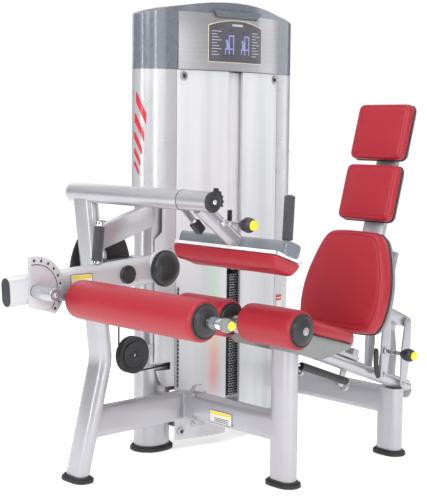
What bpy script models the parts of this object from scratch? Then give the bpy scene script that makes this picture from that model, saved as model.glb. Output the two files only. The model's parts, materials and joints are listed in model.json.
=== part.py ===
"""Seated leg extension machine with a weight-stack tower. Metres, +Z up, floor at z = 0.

The user sits facing -X, with the tower on the +Y side. x = 0 is the knee axis and y = 0 is the
middle of the seat."""

import bmesh
import bpy
from math import asin, atan2, cos, degrees, pi, radians, sin, sqrt
from mathutils import Matrix, Vector

# ---- driving dimensions ----
GAP = 0.0003  # left between faces that touch

TUBE_WIDE, TUBE_THIN = 0.095, 0.055  # flat-oval frame tube
ARM_WIDE, ARM_THIN = 0.088, 0.045  # flat-oval lever tube
SEGMENTS = 24

TOWER_X, COLUMN_SPREAD, COLUMN_Y = 0.455, 0.284, 0.600
COLUMN_WIDE, COLUMN_DEEP = 0.130, 0.100
TOWER_HALF, TOWER_BACK = 0.356, 0.668
FRONT_Y, FRONT_HALF, FRONT_SAG = 0.495, 0.240, 0.035
COVER_BOTTOM, CAP_BOTTOM, CAP_SIDE_TOP, CAP_TOP = 0.030, 1.288, 1.466, 1.520
SLOT_HALF = 0.034
SHEET = 0.003

PIVOT_Z, LEVER_Y = 0.657, 0.3625
LEVER_RISE = radians(3.0)
LEVER_REACH = 0.570
HUB_X, HUB_Z, HOLE_RING = -0.489, 0.627, 0.088
ANKLE_X, ANKLE_Z, ANKLE_NEAR, ANKLE_FAR = -0.360, 0.598, -0.237, 0.300
PAD_RADIUS, PAD_BORE, SHAFT_RADIUS = 0.057, 0.0130, 0.0125
KNEE_Z, KNEE_IN, KNEE_OUT = 0.535, 0.038, 0.246
CAM_Y, CAM_THICK, CAM_CENTRE, CAM_HALF = 0.524, 0.007, (-0.109, 0.633), (0.121, 0.168)
CABLE_Y, CABLE_RADIUS = 0.5320, 0.003
PULLEY_RADIUS, GROOVE_RADIUS, PULLEY_THICK = 0.0615, 0.054, 0.024
LOWER_PULLEY = (0.030, 0.533, 0.351)
IDLER_RADIUS, IDLER_GROOVE, IDLER_Y, IDLER_THICK = 0.039, 0.034, 0.5485, 0.018
TOP_PULLEY_Z, TOP_PULLEY_RADIUS, TOP_GROOVE = 1.4195, 0.0825, 0.0775
AXLE = 0.006

BOOM_X, BOOM_Z, BOOM_RADIUS, BOOM_NEAR, BOOM_FAR = -0.218, 0.895, 0.0285, -0.112, 0.527
SLEEVE_NEAR, SLEEVE_FAR = -0.108, 0.010
BAR_X, BAR_Z, BAR_Y0, BAR_Y1 = -0.035, 0.763, -0.235, 0.190
THIGH_TILT = radians(20)

LEG_Y, FRONT_X, REAR_X, REAR_Y = 0.458, 0.195, 0.734, 0.014
LEG_LINE = [(-0.2545, 0.0), (-0.160, 0.372), (-0.220, 0.895)]
BEAM_Z = 0.180
RAIL_TILT, RAIL_RADIUS = radians(20.08), 0.0215
RAIL_POINT = Vector((0.433, 0.0, 0.360))
SEAT_TILT = radians(15.5)
LINK_FRONT, LINK_REAR = (0.634, 0.293), (0.741, 0.247)
LINK_LEAN = (0.018, 0.208)
KNOB_AT = (0.633, 0.372)
LINK_Y, LINK_THICK = 0.033, 0.006
BACK_TILT = radians(16)
BACK_POINT = Vector((0.565, 0.0, 0.898))

PLATES, PLATE_PITCH, STACK_BOTTOM, LIFTED = 16, 0.0272, 0.150, 5
STACK_Y, STACK_HALF, STACK_DEPTH, ROD_SPREAD, ROD_RADIUS = 0.580, 0.150, 0.096, 0.100, 0.010

SILVER = ((0.62, 0.61, 0.64, 1), 0.35, 0.6)
SLATE = ((0.20, 0.22, 0.26, 1), 0.4, 0.2)
PALE = ((0.78, 0.78, 0.80, 1), 0.45, 0.1)
BLACK = ((0.02, 0.02, 0.022, 1), 0.5, 0.0)
RED = ((0.45, 0.03, 0.06, 1), 0.45, 0.0)
GREY = ((0.22, 0.24, 0.23, 1), 0.5, 0.0)
CHROME = ((0.8, 0.8, 0.82, 1), 0.12, 1.0)
STEEL = ((0.3, 0.3, 0.31, 1), 0.35, 0.8)


# ---- helpers ----
def clear_scene():
    for obj in list(bpy.data.objects):
        bpy.data.objects.remove(obj, do_unlink=True)


def new_collection(name):
    group = bpy.data.collections.new(name)
    bpy.context.scene.collection.children.link(group)
    return group


def finish(obj, name, look, group):
    """Names the object, puts it in its collection and gives it its own material."""
    obj.name = name
    obj.data.name = name
    group.objects.link(obj)
    if look is None:
        obj.hide_render = True
        obj.display_type = "WIRE"
        return obj
    colour, roughness, metallic = look
    material = bpy.data.materials.new(name)
    material.use_nodes = True
    shader = material.node_tree.nodes["Principled BSDF"]
    shader.inputs["Base Color"].default_value = colour
    shader.inputs["Roughness"].default_value = roughness
    shader.inputs["Metallic"].default_value = metallic
    obj.data.materials.append(material)
    return obj


def face_out(bm):
    """Turns every face outwards."""
    bmesh.ops.recalc_face_normals(bm, faces=bm.faces)
    if bm.calc_volume(signed=True) < 0:
        bmesh.ops.reverse_faces(bm, faces=bm.faces)


def mesh_from(bm, name, look):
    face_out(bm)
    mesh = bpy.data.meshes.new(name)
    bm.to_mesh(mesh)
    bm.free()
    obj = bpy.data.objects.new(name, mesh)
    group = CUTTERS if look is None else PARTS
    obj = finish(obj, name, look, group)
    mesh.shade_smooth()
    mesh.set_sharp_from_angle(angle=radians(35))
    return obj


def aim(direction):
    """Rotation that takes local Z onto the direction."""
    return Vector((0, 0, 1)).rotation_difference(Vector(direction)).to_matrix().to_4x4()


def box(name, look, size, centre, tilt=0.0, bevel=0.0, turn=0.0):
    """A box turned by tilt about Y, then by turn about Z."""
    bm = bmesh.new()
    bmesh.ops.create_cube(bm, size=1.0)
    bmesh.ops.scale(bm, vec=size, verts=bm.verts)
    if bevel:
        bmesh.ops.bevel(bm, geom=list(bm.edges), offset=bevel, segments=2, affect="EDGES", profile=0.5)
    place = Matrix.Translation(centre) @ Matrix.Rotation(turn, 4, "Z") @ Matrix.Rotation(tilt, 4, "Y")
    bm.transform(place)
    return mesh_from(bm, name, look)


def rod(name, look, start, end, radius, segments=SEGMENTS, end_radius=None):
    """A cylinder or a cone between two points."""
    start, end = Vector(start), Vector(end)
    bm = bmesh.new()
    tip = radius if end_radius is None else end_radius
    bmesh.ops.create_cone(bm, cap_ends=True, segments=segments, radius1=radius, radius2=tip,
                          depth=(end - start).length)
    bm.transform(Matrix.Translation((start + end) / 2) @ aim(end - start))
    return mesh_from(bm, name, look)


def turned(name, look, base, direction, profile, steps=SEGMENTS, ring=False):
    """A profile of (radius, height) points, top to bottom on its outer side, turned about an axis."""
    bm = bmesh.new()
    points = [bm.verts.new((radius, 0, height)) for radius, height in profile]
    for first, second in zip(points, points[1:]):
        bm.edges.new((first, second))
    if ring:
        bm.edges.new((points[-1], points[0]))
    mesh = bpy.data.meshes.new(name)
    bm.to_mesh(mesh)
    bm.free()
    obj = finish(bpy.data.objects.new(name, mesh), name, look, CUTTERS if look is None else PARTS)
    obj.matrix_world = Matrix.Translation(base) @ aim(direction)
    screw = obj.modifiers.new("Turn", "SCREW")
    screw.steps = screw.render_steps = steps
    screw.use_merge_vertices = True
    screw.merge_threshold = 0.00001
    screw.use_smooth_shade = True
    return as_mesh(obj)


def as_mesh(obj):
    """Turns a curve, or a mesh with modifiers, into a plain mesh with its caps welded."""
    bpy.context.view_layer.update()
    graph = bpy.context.evaluated_depsgraph_get()
    mesh = bpy.data.meshes.new_from_object(obj.evaluated_get(graph))
    bm = bmesh.new()
    bm.from_mesh(mesh)
    bmesh.ops.remove_doubles(bm, verts=bm.verts, dist=0.00002)
    face_out(bm)
    bm.to_mesh(mesh)
    bm.free()
    name, place, group = obj.name, obj.matrix_world.copy(), obj.users_collection[0]
    hidden = obj.hide_render
    bpy.data.objects.remove(obj, do_unlink=True)
    new = bpy.data.objects.new(name, mesh)
    mesh.name = name
    group.objects.link(new)
    new.matrix_world = place
    new.hide_render = hidden
    new.display_type = "WIRE" if hidden else "TEXTURED"
    mesh.shade_smooth()
    mesh.set_sharp_from_angle(angle=radians(35))
    return new


PLANES = {
    "XZ": Matrix(((1, 0, 0, 0), (0, 0, -1, 0), (0, 1, 0, 0), (0, 0, 0, 1))),
    "YZ": Matrix(((0, 0, 1, 0), (1, 0, 0, 0), (0, 1, 0, 0), (0, 0, 0, 1))),
    "XY": Matrix.Identity(4),
}
PLANE_NORMAL = {"XZ": Vector((0, 1, 0)), "YZ": Vector((1, 0, 0)), "XY": Vector((0, 0, 1))}


def poly_spline(data, points, cyclic):
    spline = data.splines.new("POLY")
    spline.points.add(len(points) - 1)
    for place, point in zip(spline.points, points):
        place.co = (*point, *([0.0] * (3 - len(point))), 1.0)
    spline.use_cyclic_u = cyclic


def plate(name, look, plane, offset, outline, thickness, bevel=0.0):
    """A flat outline of (u, v) points with a thickness, in one plane, middle at the offset."""
    data = bpy.data.curves.new(name, "CURVE")
    data.dimensions = "2D"
    data.fill_mode = "BOTH"
    data.extrude = thickness / 2
    poly_spline(data, outline, True)
    obj = finish(bpy.data.objects.new(name, data), name, look, CUTTERS if look is None else PARTS)
    obj.matrix_world = Matrix.Translation(PLANE_NORMAL[plane] * offset) @ PLANES[plane]
    obj = as_mesh(obj)
    if bevel:
        edge = obj.modifiers.new("Edge", "BEVEL")
        edge.width = bevel
        edge.segments = 2
        edge.limit_method = "ANGLE"
        edge.angle_limit = radians(40)
        obj = as_mesh(obj)
    return obj


def oval(half_in, half_out, steps=6):
    """A flat-oval section: its long side is the larger half."""
    radius = min(half_in, half_out)
    flat_in, flat_out = half_in - radius, half_out - radius
    points = []
    for quarter, (side_in, side_out) in enumerate(((1, 1), (-1, 1), (-1, -1), (1, -1))):
        for step in range(steps // 2 + 1):
            angle = (quarter + step / (steps // 2)) * pi / 2
            point = (side_in * flat_in + radius * cos(angle), side_out * flat_out + radius * sin(angle))
            if not points or (Vector(point) - Vector(points[-1])).length > 1e-6:
                points.append(point)
    if (Vector(points[0]) - Vector(points[-1])).length < 1e-6:
        points.pop()
    return points


def rounded_rectangle(half_in, half_out, radius, steps=2):
    points = []
    for quarter, (side_in, side_out) in enumerate(((1, 1), (-1, 1), (-1, -1), (1, -1))):
        for step in range(steps + 1):
            angle = (quarter + step / steps) * pi / 2
            points.append((side_in * (half_in - radius) + radius * cos(angle),
                           side_out * (half_out - radius) + radius * sin(angle)))
    return points


def rounded_path(points, radius, steps=6):
    """A path through the points with each inner corner rounded."""
    points = [Vector(point) for point in points]
    path = [points[0]]
    for before, corner, after in zip(points, points[1:], points[2:]):
        into, out = (before - corner).normalized(), (after - corner).normalized()
        half = into.angle(out) / 2
        reach = radius / (sin(half) / cos(half))
        centre = corner + (into + out).normalized() * radius / sin(half)
        first, last = corner + into * reach - centre, corner + out * reach - centre
        start = atan2(first.y, first.x)
        sweep = (atan2(last.y, last.x) - start + pi) % (2 * pi) - pi
        for step in range(steps + 1):
            angle = start + sweep * step / steps
            path.append(centre + Vector((cos(angle), sin(angle))) * radius)
    path.append(points[-1])
    return path


def tube(name, look, plane, offset, path, section):
    """A section swept along a path that lies in one plane."""
    shape = bpy.data.curves.new(name + "_section", "CURVE")
    shape.dimensions = "2D"
    shape.fill_mode = "NONE"
    poly_spline(shape, section, True)
    guide = bpy.data.objects.new(name + "_section", shape)
    CUTTERS.objects.link(guide)
    data = bpy.data.curves.new(name, "CURVE")
    data.dimensions = "2D"
    data.fill_mode = "NONE"
    data.bevel_mode = "OBJECT"
    data.bevel_object = guide
    data.use_fill_caps = True
    poly_spline(data, [tuple(point) for point in path], False)
    obj = finish(bpy.data.objects.new(name, data), name, look, CUTTERS if look is None else PARTS)
    obj.matrix_world = Matrix.Translation(PLANE_NORMAL[plane] * offset) @ PLANES[plane]
    obj = as_mesh(obj)
    bpy.data.objects.remove(guide, do_unlink=True)
    return obj


def wire(name, look, points, radius, resolution=2):
    """A round wire along a smooth route."""
    data = bpy.data.curves.new(name, "CURVE")
    data.dimensions = "3D"
    data.bevel_depth = radius
    data.bevel_resolution = resolution
    data.use_fill_caps = True
    poly_spline(data, [tuple(point) for point in points], False)
    obj = finish(bpy.data.objects.new(name, data), name, look, CUTTERS if look is None else PARTS)
    return as_mesh(obj)


def combine(obj, others, operation):
    """Applies Booleans of one kind, one after another, and removes the helper objects."""
    for other in others:
        step = obj.modifiers.new("Step", "BOOLEAN")
        step.operation = operation
        step.object = other
        step.solver = "EXACT"
    obj = as_mesh(obj)
    for other in others:
        bpy.data.objects.remove(other, do_unlink=True)
    return obj


def join(obj, *others):
    return combine(obj, others, "UNION")


def cut(obj, *others):
    return combine(obj, others, "DIFFERENCE")


def hang_on(joint_name, place, objects, parent=None):
    """Parents moving pieces to an empty on their joint's axis, and leaves them where they are."""
    empty = bpy.data.objects.new(joint_name, None)
    empty.empty_display_size = 0.05
    PARTS.objects.link(empty)
    empty.location = place
    if parent:
        empty.parent = parent
        bpy.context.view_layer.update()
        empty.matrix_parent_inverse = parent.matrix_world.inverted()
    bpy.context.view_layer.update()
    for obj in objects:
        obj.parent = empty
        obj.matrix_parent_inverse = empty.matrix_world.inverted()
    return empty


def arc(centre, radius, start, end, steps):
    """Points on an arc, angles in degrees."""
    angles = [radians(start + (end - start) * step / steps) for step in range(steps + 1)]
    return [(centre[0] + radius * cos(angle), centre[1] + radius * sin(angle)) for angle in angles]


# ---- frame ----
def frame_columns():
    for side, sign in (("left", -1), ("right", 1)):
        x = TOWER_X + sign * COLUMN_SPREAD
        section = [(x + u, COLUMN_Y + v) for u, v in oval(COLUMN_WIDE / 2, COLUMN_DEEP / 2)]
        low, high = 0.012 + GAP, 1.34
        column = plate(side + "_column", SILVER, "XY", (low + high) / 2, section, high - low)
        if sign < 0:
            join(column, *pulley_carriers())
        foot_outline = [(x + u, COLUMN_Y + v) for u, v in oval(0.078, 0.063)]
        plate("foot_column_" + side, BLACK, "XY", 0.006, foot_outline, 0.012)


def pulley_carriers():
    """Plates behind the lower pulley and the idler, each with its axle."""
    x, y, z = LOWER_PULLEY
    back = y + PULLEY_THICK / 2 + 0.005
    idler_x, idler_z = idler_centre()
    idler_back = IDLER_Y + IDLER_THICK / 2 + 0.005
    return [box("carrier", None, (0.145, 0.010, 0.042), (x + 0.060, back + 0.005, z)),
            box("corner", None, (0.024, 0.030, 0.042), (x + 0.112, back + 0.022, z)),
            rod("axle", None, (x, y - 0.013, z), (x, back + 0.005, z), AXLE, 12),
            box("carrier", None, (0.075, 0.008, 0.034), (idler_x - 0.018, idler_back + 0.004, idler_z)),
            rod("axle", None, (idler_x, IDLER_Y - 0.0095, idler_z), (idler_x, idler_back + 0.004, idler_z),
                AXLE, 12)]


def cross_beams():
    inner = COLUMN_SPREAD - COLUMN_WIDE / 2 - GAP
    top = box("top_crossbeam", SILVER, (2 * inner, 0.05, 0.05), (TOWER_X, STACK_Y + 0.012, 1.31))
    holes = [rod("hole", None, (TOWER_X + x, STACK_Y, 1.2), (TOWER_X + x, STACK_Y, 1.4), radius, 12)
             for x, radius in ((-ROD_SPREAD, ROD_RADIUS + GAP), (ROD_SPREAD, ROD_RADIUS + GAP), (0, 0.006),
                               (rise_x() - TOWER_X, 0.008))]
    x = top_pulley_x()
    posts = [box("post", None, (0.030, 0.008, 0.125), (x, STACK_Y + 0.021, 1.3775)),
             rod("axle", None, (x, STACK_Y - 0.012, TOP_PULLEY_Z), (x, STACK_Y + 0.021, TOP_PULLEY_Z),
                 AXLE, 12)]
    cut(join(top, *posts), *holes)
    low = box("bottom_crossbeam", SILVER, (2 * inner, 0.08, 0.04), (TOWER_X, COLUMN_Y, 0.09))
    blocks = [box("block", None, (0.05, 0.09, 0.038), (TOWER_X + x, STACK_Y, 0.128)) for x in (-0.1, 0.1)]
    holes = [rod("hole", None, (TOWER_X + x, STACK_Y, 0.1), (TOWER_X + x, STACK_Y, 0.2),
                 ROD_RADIUS + GAP, 12) for x in (-ROD_SPREAD, ROD_SPREAD)]
    cut(join(low, *blocks), *holes)


def foot(name, x, y, half_x, half_y):
    outline = [(x + u, y + v) for u, v in oval(half_x, half_y)]
    plate(name, BLACK, "XY", 0.006, outline, 0.012)


def left_frame():
    path = rounded_path(LEG_LINE, 0.18, 8)
    leg = tube("left_leg", SILVER, "XZ", LEG_Y, path, oval(0.0225, 0.045))
    floor = box("floor", None, (0.4, 0.3, 0.1), (-0.25, LEG_Y, 0.012 + GAP - 0.05))
    above = rod("above", None, (BOOM_X, 0.3, BOOM_Z), (BOOM_X, 0.6, BOOM_Z), BOOM_RADIUS + GAP)
    above_box = box("above_box", None, (0.2, 0.3, 0.1), (BOOM_X, LEG_Y, BOOM_Z + 0.05))
    cut(leg, floor, above, above_box)
    foot("foot_left", -0.2505, LEG_Y, 0.036, 0.060)
    boom = turned("boom_tube", SILVER, (BOOM_X, 0, BOOM_Z), (0, 1, 0),
                  [(0, BOOM_FAR), (0.022, BOOM_FAR), (BOOM_RADIUS, BOOM_FAR - 0.0065),
                   (BOOM_RADIUS, SLEEVE_FAR + 0.0015), (0.020, SLEEVE_FAR + 0.0015), (0.020, BOOM_NEAR),
                   (0, BOOM_NEAR)])
    boom.name = "boom_tube"
    brace()
    base_beam()
    housing()


def brace():
    """Tube from the left leg up to the left column, cut to fit both."""
    start, end = Vector((-0.200, LEG_Y, 0.744)), Vector((0.100, 0.531, 0.808))
    run = end - start
    body = box("leg_brace", SILVER, (run.length, 0.032, 0.074), (start + end) / 2,
               -atan2(run.z, Vector((run.x, run.y)).length), 0.006, atan2(run.y, run.x))
    path = rounded_path(LEG_LINE, 0.18, 8)
    leg = tube("leg_cutter", None, "XZ", LEG_Y, path, oval(0.0225 + GAP, 0.045 + GAP))
    beyond = box("beyond", None, (0.06, 0.3, 0.4), (-0.222, LEG_Y, 0.745))
    x = TOWER_X - COLUMN_SPREAD
    section = [(x + u, COLUMN_Y + v) for u, v in oval(COLUMN_WIDE / 2 + GAP, COLUMN_DEEP / 2 + GAP)]
    column = plate("column_cutter", None, "XY", 0.8, section, 0.6)
    block = box("block", None, (0.034, 0.060, 0.060), (0.105, 0.552, 0.806))
    cut(join(body, block), leg, beyond, column)


def base_beam():
    """Beam along X in front of the left column, its elbow and its flange."""
    path = rounded_path([(-0.26, LEG_Y), (FRONT_X, LEG_Y), (FRONT_X, 0.404)], 0.028, 4)
    beam = tube("left_base_beam", SILVER, "XY", BEAM_Z - 0.006,
                path, rounded_rectangle(0.025, TUBE_WIDE / 2, 0.012))
    leg_path = rounded_path(LEG_LINE, 0.18, 8)
    leg = tube("leg_cutter", None, "XZ", LEG_Y, leg_path, oval(0.0225 + GAP, 0.045 + GAP))
    beyond = box("beyond", None, (0.14, 0.2, 0.2), (-0.262, LEG_Y, 0.17))
    flange = flange_plate(0.4045)
    link = box("link", None, (0.05, 0.075, 0.05), (0.165, 0.512, BEAM_Z - 0.01))
    x = TOWER_X - COLUMN_SPREAD
    section = [(x + u, COLUMN_Y + v) for u, v in oval(COLUMN_WIDE / 2 + GAP, COLUMN_DEEP / 2 + GAP)]
    column = plate("column_cutter", None, "XY", 0.18, section, 0.3)
    cut(join(beam, flange, link), leg, beyond, column)


def flange_plate(y):
    outline = [(FRONT_X - 0.032, 0.112), (FRONT_X + 0.032, 0.112), (FRONT_X + 0.040, 0.225),
               (FRONT_X + 0.022, 0.248), (FRONT_X - 0.006, 0.248), (FRONT_X - 0.030, 0.225)]
    return plate("flange", None, "XZ", y, outline, 0.009)


def housing():
    """Bearing tube of the lever's shaft, on an arm from the left leg."""
    tube_part = turned("pivot_housing", SILVER, (0, 0, PIVOT_Z), (0, 1, 0),
                       [(0.030, 0.495), (0.030, 0.400), (0.0130, 0.400), (0.0130, 0.495)], ring=True)
    arm = box("arm", None, (0.135, 0.040, 0.050), (-0.088, 0.452, PIVOT_Z))
    path = rounded_path(LEG_LINE, 0.18, 8)
    leg = tube("leg_cutter", None, "XZ", LEG_Y, path, oval(0.0225 + GAP, 0.045 + GAP))
    bore = rod("bore", None, (0, 0.3, PIVOT_Z), (0, 0.6, PIVOT_Z), 0.0130)
    cut(join(tube_part, arm), leg, bore)


def front_leg():
    """Front beam along Y, its flange, and the front leg that it is welded to."""
    top = 0.452
    section = [(FRONT_X + u, v) for u, v in oval(TUBE_THIN / 2, TUBE_WIDE / 2)]
    leg = plate("front_leg", SILVER, "XY", (top + 0.012 + GAP) / 2, section, top - 0.012 - GAP)
    beam = tube("beam", None, "YZ", FRONT_X, [(0.0, BEAM_Z), (0.3945, BEAM_Z)],
                oval(TUBE_WIDE / 2, TUBE_THIN / 2))
    stalk = rod("stalk", None, (FRONT_X, 0, 0.44), (0.030, 0, KNEE_Z - 0.020), 0.0195, 12)
    clevis = box("clevis", None, (0.045, 0.026, 0.05), (0.012, 0, KNEE_Z - 0.012))
    spring_lug = box("spring_lug", None, (0.026, 0.010, 0.022), (FRONT_X + 0.0275, 0.0, 0.374))
    bore = rod("bore", None, (0, -0.1, KNEE_Z), (0, 0.1, KNEE_Z), SHAFT_RADIUS + GAP)
    cut(join(leg, beam, flange_plate(0.3950), stalk, clevis, spring_lug), bore)
    foot("foot_front", FRONT_X, 0, 0.040, 0.062)


def rear_leg():
    """Rear beam along Y and the rear leg that carries the end of the rail."""
    beam = tube("beam", None, "YZ", REAR_X, [(REAR_Y, BEAM_Z + 0.003), (COLUMN_Y - 0.03, BEAM_Z + 0.003)],
                oval(TUBE_WIDE / 2, TUBE_THIN / 2 - 0.001))
    section = [(REAR_X + u, REAR_Y + v) for u, v in oval(TUBE_THIN / 2, TUBE_WIDE / 2)]
    leg = plate("rear_leg", SILVER, "XY", 0.1205 + GAP / 2, section, 0.217 - GAP)
    x = TOWER_X + COLUMN_SPREAD
    section = [(x + u, COLUMN_Y + v) for u, v in oval(COLUMN_WIDE / 2 + GAP, COLUMN_DEEP / 2 + GAP)]
    column = plate("column_cutter", None, "XY", 0.18, section, 0.3)
    axis_x = Vector((cos(RAIL_TILT), 0, -sin(RAIL_TILT)))
    rail = rod("rail_cutter", None, RAIL_POINT, RAIL_POINT + axis_x * 0.6, RAIL_RADIUS + GAP)
    cut(join(leg, beam), column, rail)
    foot("foot_rear", REAR_X, REAR_Y, 0.040, 0.060)


def seat_rail():
    """Sloping round rail, its end cap and the lock plate of the back's linkage."""
    along = Vector((cos(RAIL_TILT), 0, -sin(RAIL_TILT)))
    start = RAIL_POINT + along * ((FRONT_X - 0.01 - RAIL_POINT.x) / along.x)
    end = RAIL_POINT + along * ((0.800 - RAIL_POINT.x) / along.x)
    rail = rod("seat_rail", SILVER, start, end, RAIL_RADIUS)
    outline = [(0.652, 0.266), (0.730, 0.243), (0.740, 0.345), (0.728, 0.420), (0.700, 0.438),
               (0.676, 0.425), (0.658, 0.345)]
    lock = plate("lock", None, "XZ", 0.0, outline, 0.008)
    section = [(FRONT_X + u, v) for u, v in oval(TUBE_THIN / 2 + GAP, TUBE_WIDE / 2 + GAP)]
    leg = plate("leg_cutter", None, "XY", 0.3, section, 0.6)
    pins = [rod("pin", None, (x, -LINK_Y + 0.0035, z), (x, LINK_Y - 0.0035, z), 0.009, 12)
            for x, z in (LINK_FRONT, LINK_REAR)]
    cut(join(rail, lock, *pins), leg)


# ---- tower shells ----
def front_y(x):
    """The bowed front of the tower."""
    radius = (FRONT_HALF ** 2 + FRONT_SAG ** 2) / (2 * FRONT_SAG)
    return FRONT_Y + radius - sqrt(radius ** 2 - (x - TOWER_X) ** 2)


def bowed_strip(x0, x1, depth, inset=0.0, steps=8):
    """Plan outline of a sheet that follows the bowed front."""
    xs = [x0 + (x1 - x0) * step / steps for step in range(steps + 1)]
    front = [(x, front_y(x) + inset) for x in xs]
    back = [(x, front_y(x) + inset + depth) for x in reversed(xs)]
    return front + back


def side_profile(sign, inset):
    """Plan curve of a side shell, from the bowed front round the side to the back."""
    x0 = TOWER_X + sign * (FRONT_HALF + 0.001)
    y0 = front_y(TOWER_X + FRONT_HALF)
    half = TOWER_HALF - inset
    reach_x = half - FRONT_HALF - 0.001
    middle = COLUMN_Y + 0.010
    points = [(x0, y0 + inset)]
    for step in range(1, 7):
        angle = radians(-90 + 15 * step)
        across, along = cos(angle) ** 0.8 if step < 6 else 1.0, -abs(sin(angle)) ** 0.8
        points.append((x0 + sign * reach_x * across, middle + (middle - y0 - inset) * along))
    for step in range(1, 4):
        angle = radians(22 * step)
        points.append((x0 + sign * reach_x * cos(angle),
                       middle + (TOWER_BACK - inset - middle) * sin(angle)))
    return points


def side_shells():
    for side, sign in (("left", -1), ("right", 1)):
        outline = side_profile(sign, 0.0) + side_profile(sign, SHEET)[::-1]
        bottom = 0.222 if sign < 0 else 0.235
        shell = plate(side + "_shell", PALE, "XY", (bottom + CAP_BOTTOM - GAP) / 2,
                      outline, CAP_BOTTOM - GAP - bottom)
        if sign < 0:
            window = [(0.04, 0.200), (0.04, 0.875), (0.160, 0.875), (0.160, 0.750), (0.136, 0.725),
                      (0.136, 0.300), (0.148, 0.250), (0.180, 0.200)]
            opening = plate("opening", None, "XZ", 0.5, window, 0.5)
            notch = box("notch", None, (0.14, 0.2, 0.026), (0.125, 0.5, LOWER_PULLEY[2] - 0.058))
            shell = cut(shell, opening, notch)
        else:
            beam = box("beam", None, (0.075, 0.4, 0.1), (REAR_X, 0.5, 0.20))
            shell = cut(shell, beam)


def covers():
    edge = FRONT_HALF - 0.001
    top = CAP_BOTTOM - GAP
    for side, x0, x1 in (("left", TOWER_X - edge, TOWER_X - SLOT_HALF), ("right", TOWER_X + SLOT_HALF,
                                                                       TOWER_X + edge)):
        plate(side + "_cover", PALE, "XY", (COVER_BOTTOM + top) / 2, bowed_strip(x0, x1, SHEET, 0.0, 6),
              top - COVER_BOTTOM)
    back = box("rear_cover", PALE, (0.43, SHEET, 1.10), (TOWER_X, TOWER_BACK - 0.008, 0.72))
    back.name = "rear_cover"


def cap_outline(inset):
    """Plan outline of the cap, anticlockwise."""
    right = side_profile(1, inset)
    left = side_profile(-1, inset)
    steps = 10
    x0, x1 = left[0][0], right[0][0]
    front = [(x0 + (x1 - x0) * step / steps) for step in range(1, steps)]
    return [(x, front_y(x) + inset) for x in front] + right + left[::-1]


def cap():
    half = TOWER_HALF + 0.02
    rise = CAP_TOP - CAP_SIDE_TOP
    radius = (TOWER_HALF ** 2 + rise ** 2) / (2 * rise)
    spread = degrees(asin(half / radius))

    def arch(drop):
        top = arc((TOWER_X, CAP_TOP - radius - drop), radius, 90 - spread, 90 + spread, 14)
        return [(TOWER_X - half, CAP_BOTTOM - drop), (TOWER_X + half, CAP_BOTTOM - drop)] + top

    middle = (FRONT_Y + TOWER_BACK) / 2
    shell = plate("top_cap", SLATE, "XZ", middle, arch(0.0), 0.3)
    plan = plate("plan", None, "XY", 1.4, cap_outline(0.0), 0.5)
    shell = combine(shell, [plan], "INTERSECT")
    hollow = plate("hollow", None, "XZ", middle, arch(0.004), 0.3)
    plan = plate("plan", None, "XY", 1.4, cap_outline(0.004), 0.5)
    hollow = combine(hollow, [plan], "INTERSECT")
    cut(shell, hollow)
    edge = FRONT_HALF - 0.002
    face = plate("cap_front_plate", PALE, "XY", (CAP_BOTTOM + 0.002 + 1.480) / 2,
                 bowed_strip(TOWER_X - edge, TOWER_X + edge, 0.004, -0.0055, 8), 1.480 - CAP_BOTTOM - 0.002)
    notch = [(TOWER_X - 0.116, 1.5), (TOWER_X - 0.096, 1.466), (TOWER_X + 0.096, 1.466),
             (TOWER_X + 0.116, 1.5)]
    cut(face, plate("notch", None, "XZ", 0.5, notch, 0.2))


# ---- weight stack and cable ----
def stack_block(name, look, low, high, count):
    """Plates of the stack, each with a groove under it, bored for the guide rods."""
    block = box(name, look, (2 * STACK_HALF, STACK_DEPTH, high - low), (TOWER_X, STACK_Y, (low + high) / 2))
    cutters = []
    for step in range(1, count):
        z = low + (high - low) * step / count
        frame = box("groove", None, (0.4, 0.2, 0.002), (TOWER_X, STACK_Y, z))
        core = box("core", None, (2 * STACK_HALF - 0.006, STACK_DEPTH - 0.006, 0.01), (TOWER_X, STACK_Y, z))
        cutters.append(combine(frame, [core], "DIFFERENCE"))
    for x in (-ROD_SPREAD, ROD_SPREAD):
        cutters.append(rod("bore", None, (TOWER_X + x, STACK_Y, low - 0.1),
                           (TOWER_X + x, STACK_Y, high + 0.1), ROD_RADIUS + 0.0006, 12))
    return cut(block, *cutters)


def weight_stack():
    split = STACK_BOTTOM + (PLATES - LIFTED) * PLATE_PITCH
    top = STACK_BOTTOM + PLATES * PLATE_PITCH
    stack_block("resting_plates", BLACK, STACK_BOTTOM, split - GAP, PLATES - LIFTED)
    lifted = stack_block("lifted_plates", BLACK, split + GAP, top, LIFTED)
    lifted = join(lifted, rod("eye", None, (TOWER_X, STACK_Y, top - 0.005), (TOWER_X, STACK_Y, top + 0.03),
                              0.014, 12))
    pin_z = split + PLATE_PITCH / 2
    front = STACK_Y - STACK_DEPTH / 2
    lifted = cut(lifted, rod("pin_bore", None, (TOWER_X, front - 0.05, pin_z), (TOWER_X, STACK_Y, pin_z),
                             0.0053, 12))
    pin = turned("selector_pin", BLACK, (TOWER_X, front, pin_z), (0, -1, 0),
                 [(0, 0.034), (0.010, 0.033), (0.0125, 0.028), (0.0125, 0.012), (0.006, 0.008),
                  (0.005, 0.002), (0.005, -0.040), (0, -0.042)], 12)
    for side, sign in (("left", -1), ("right", 1)):
        x = TOWER_X + sign * ROD_SPREAD
        rod("guide_rod_" + side, CHROME, (x, STACK_Y, 0.112), (x, STACK_Y, 1.330), ROD_RADIUS, 12)
    cable = rod("stack_cable", BLACK, (TOWER_X, STACK_Y, top + 0.03 + GAP),
                (TOWER_X, STACK_Y, TOP_PULLEY_Z - 0.012), CABLE_RADIUS, 8)
    hang_on("stack_lift", (TOWER_X, STACK_Y, top), [lifted, pin, cable])


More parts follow.
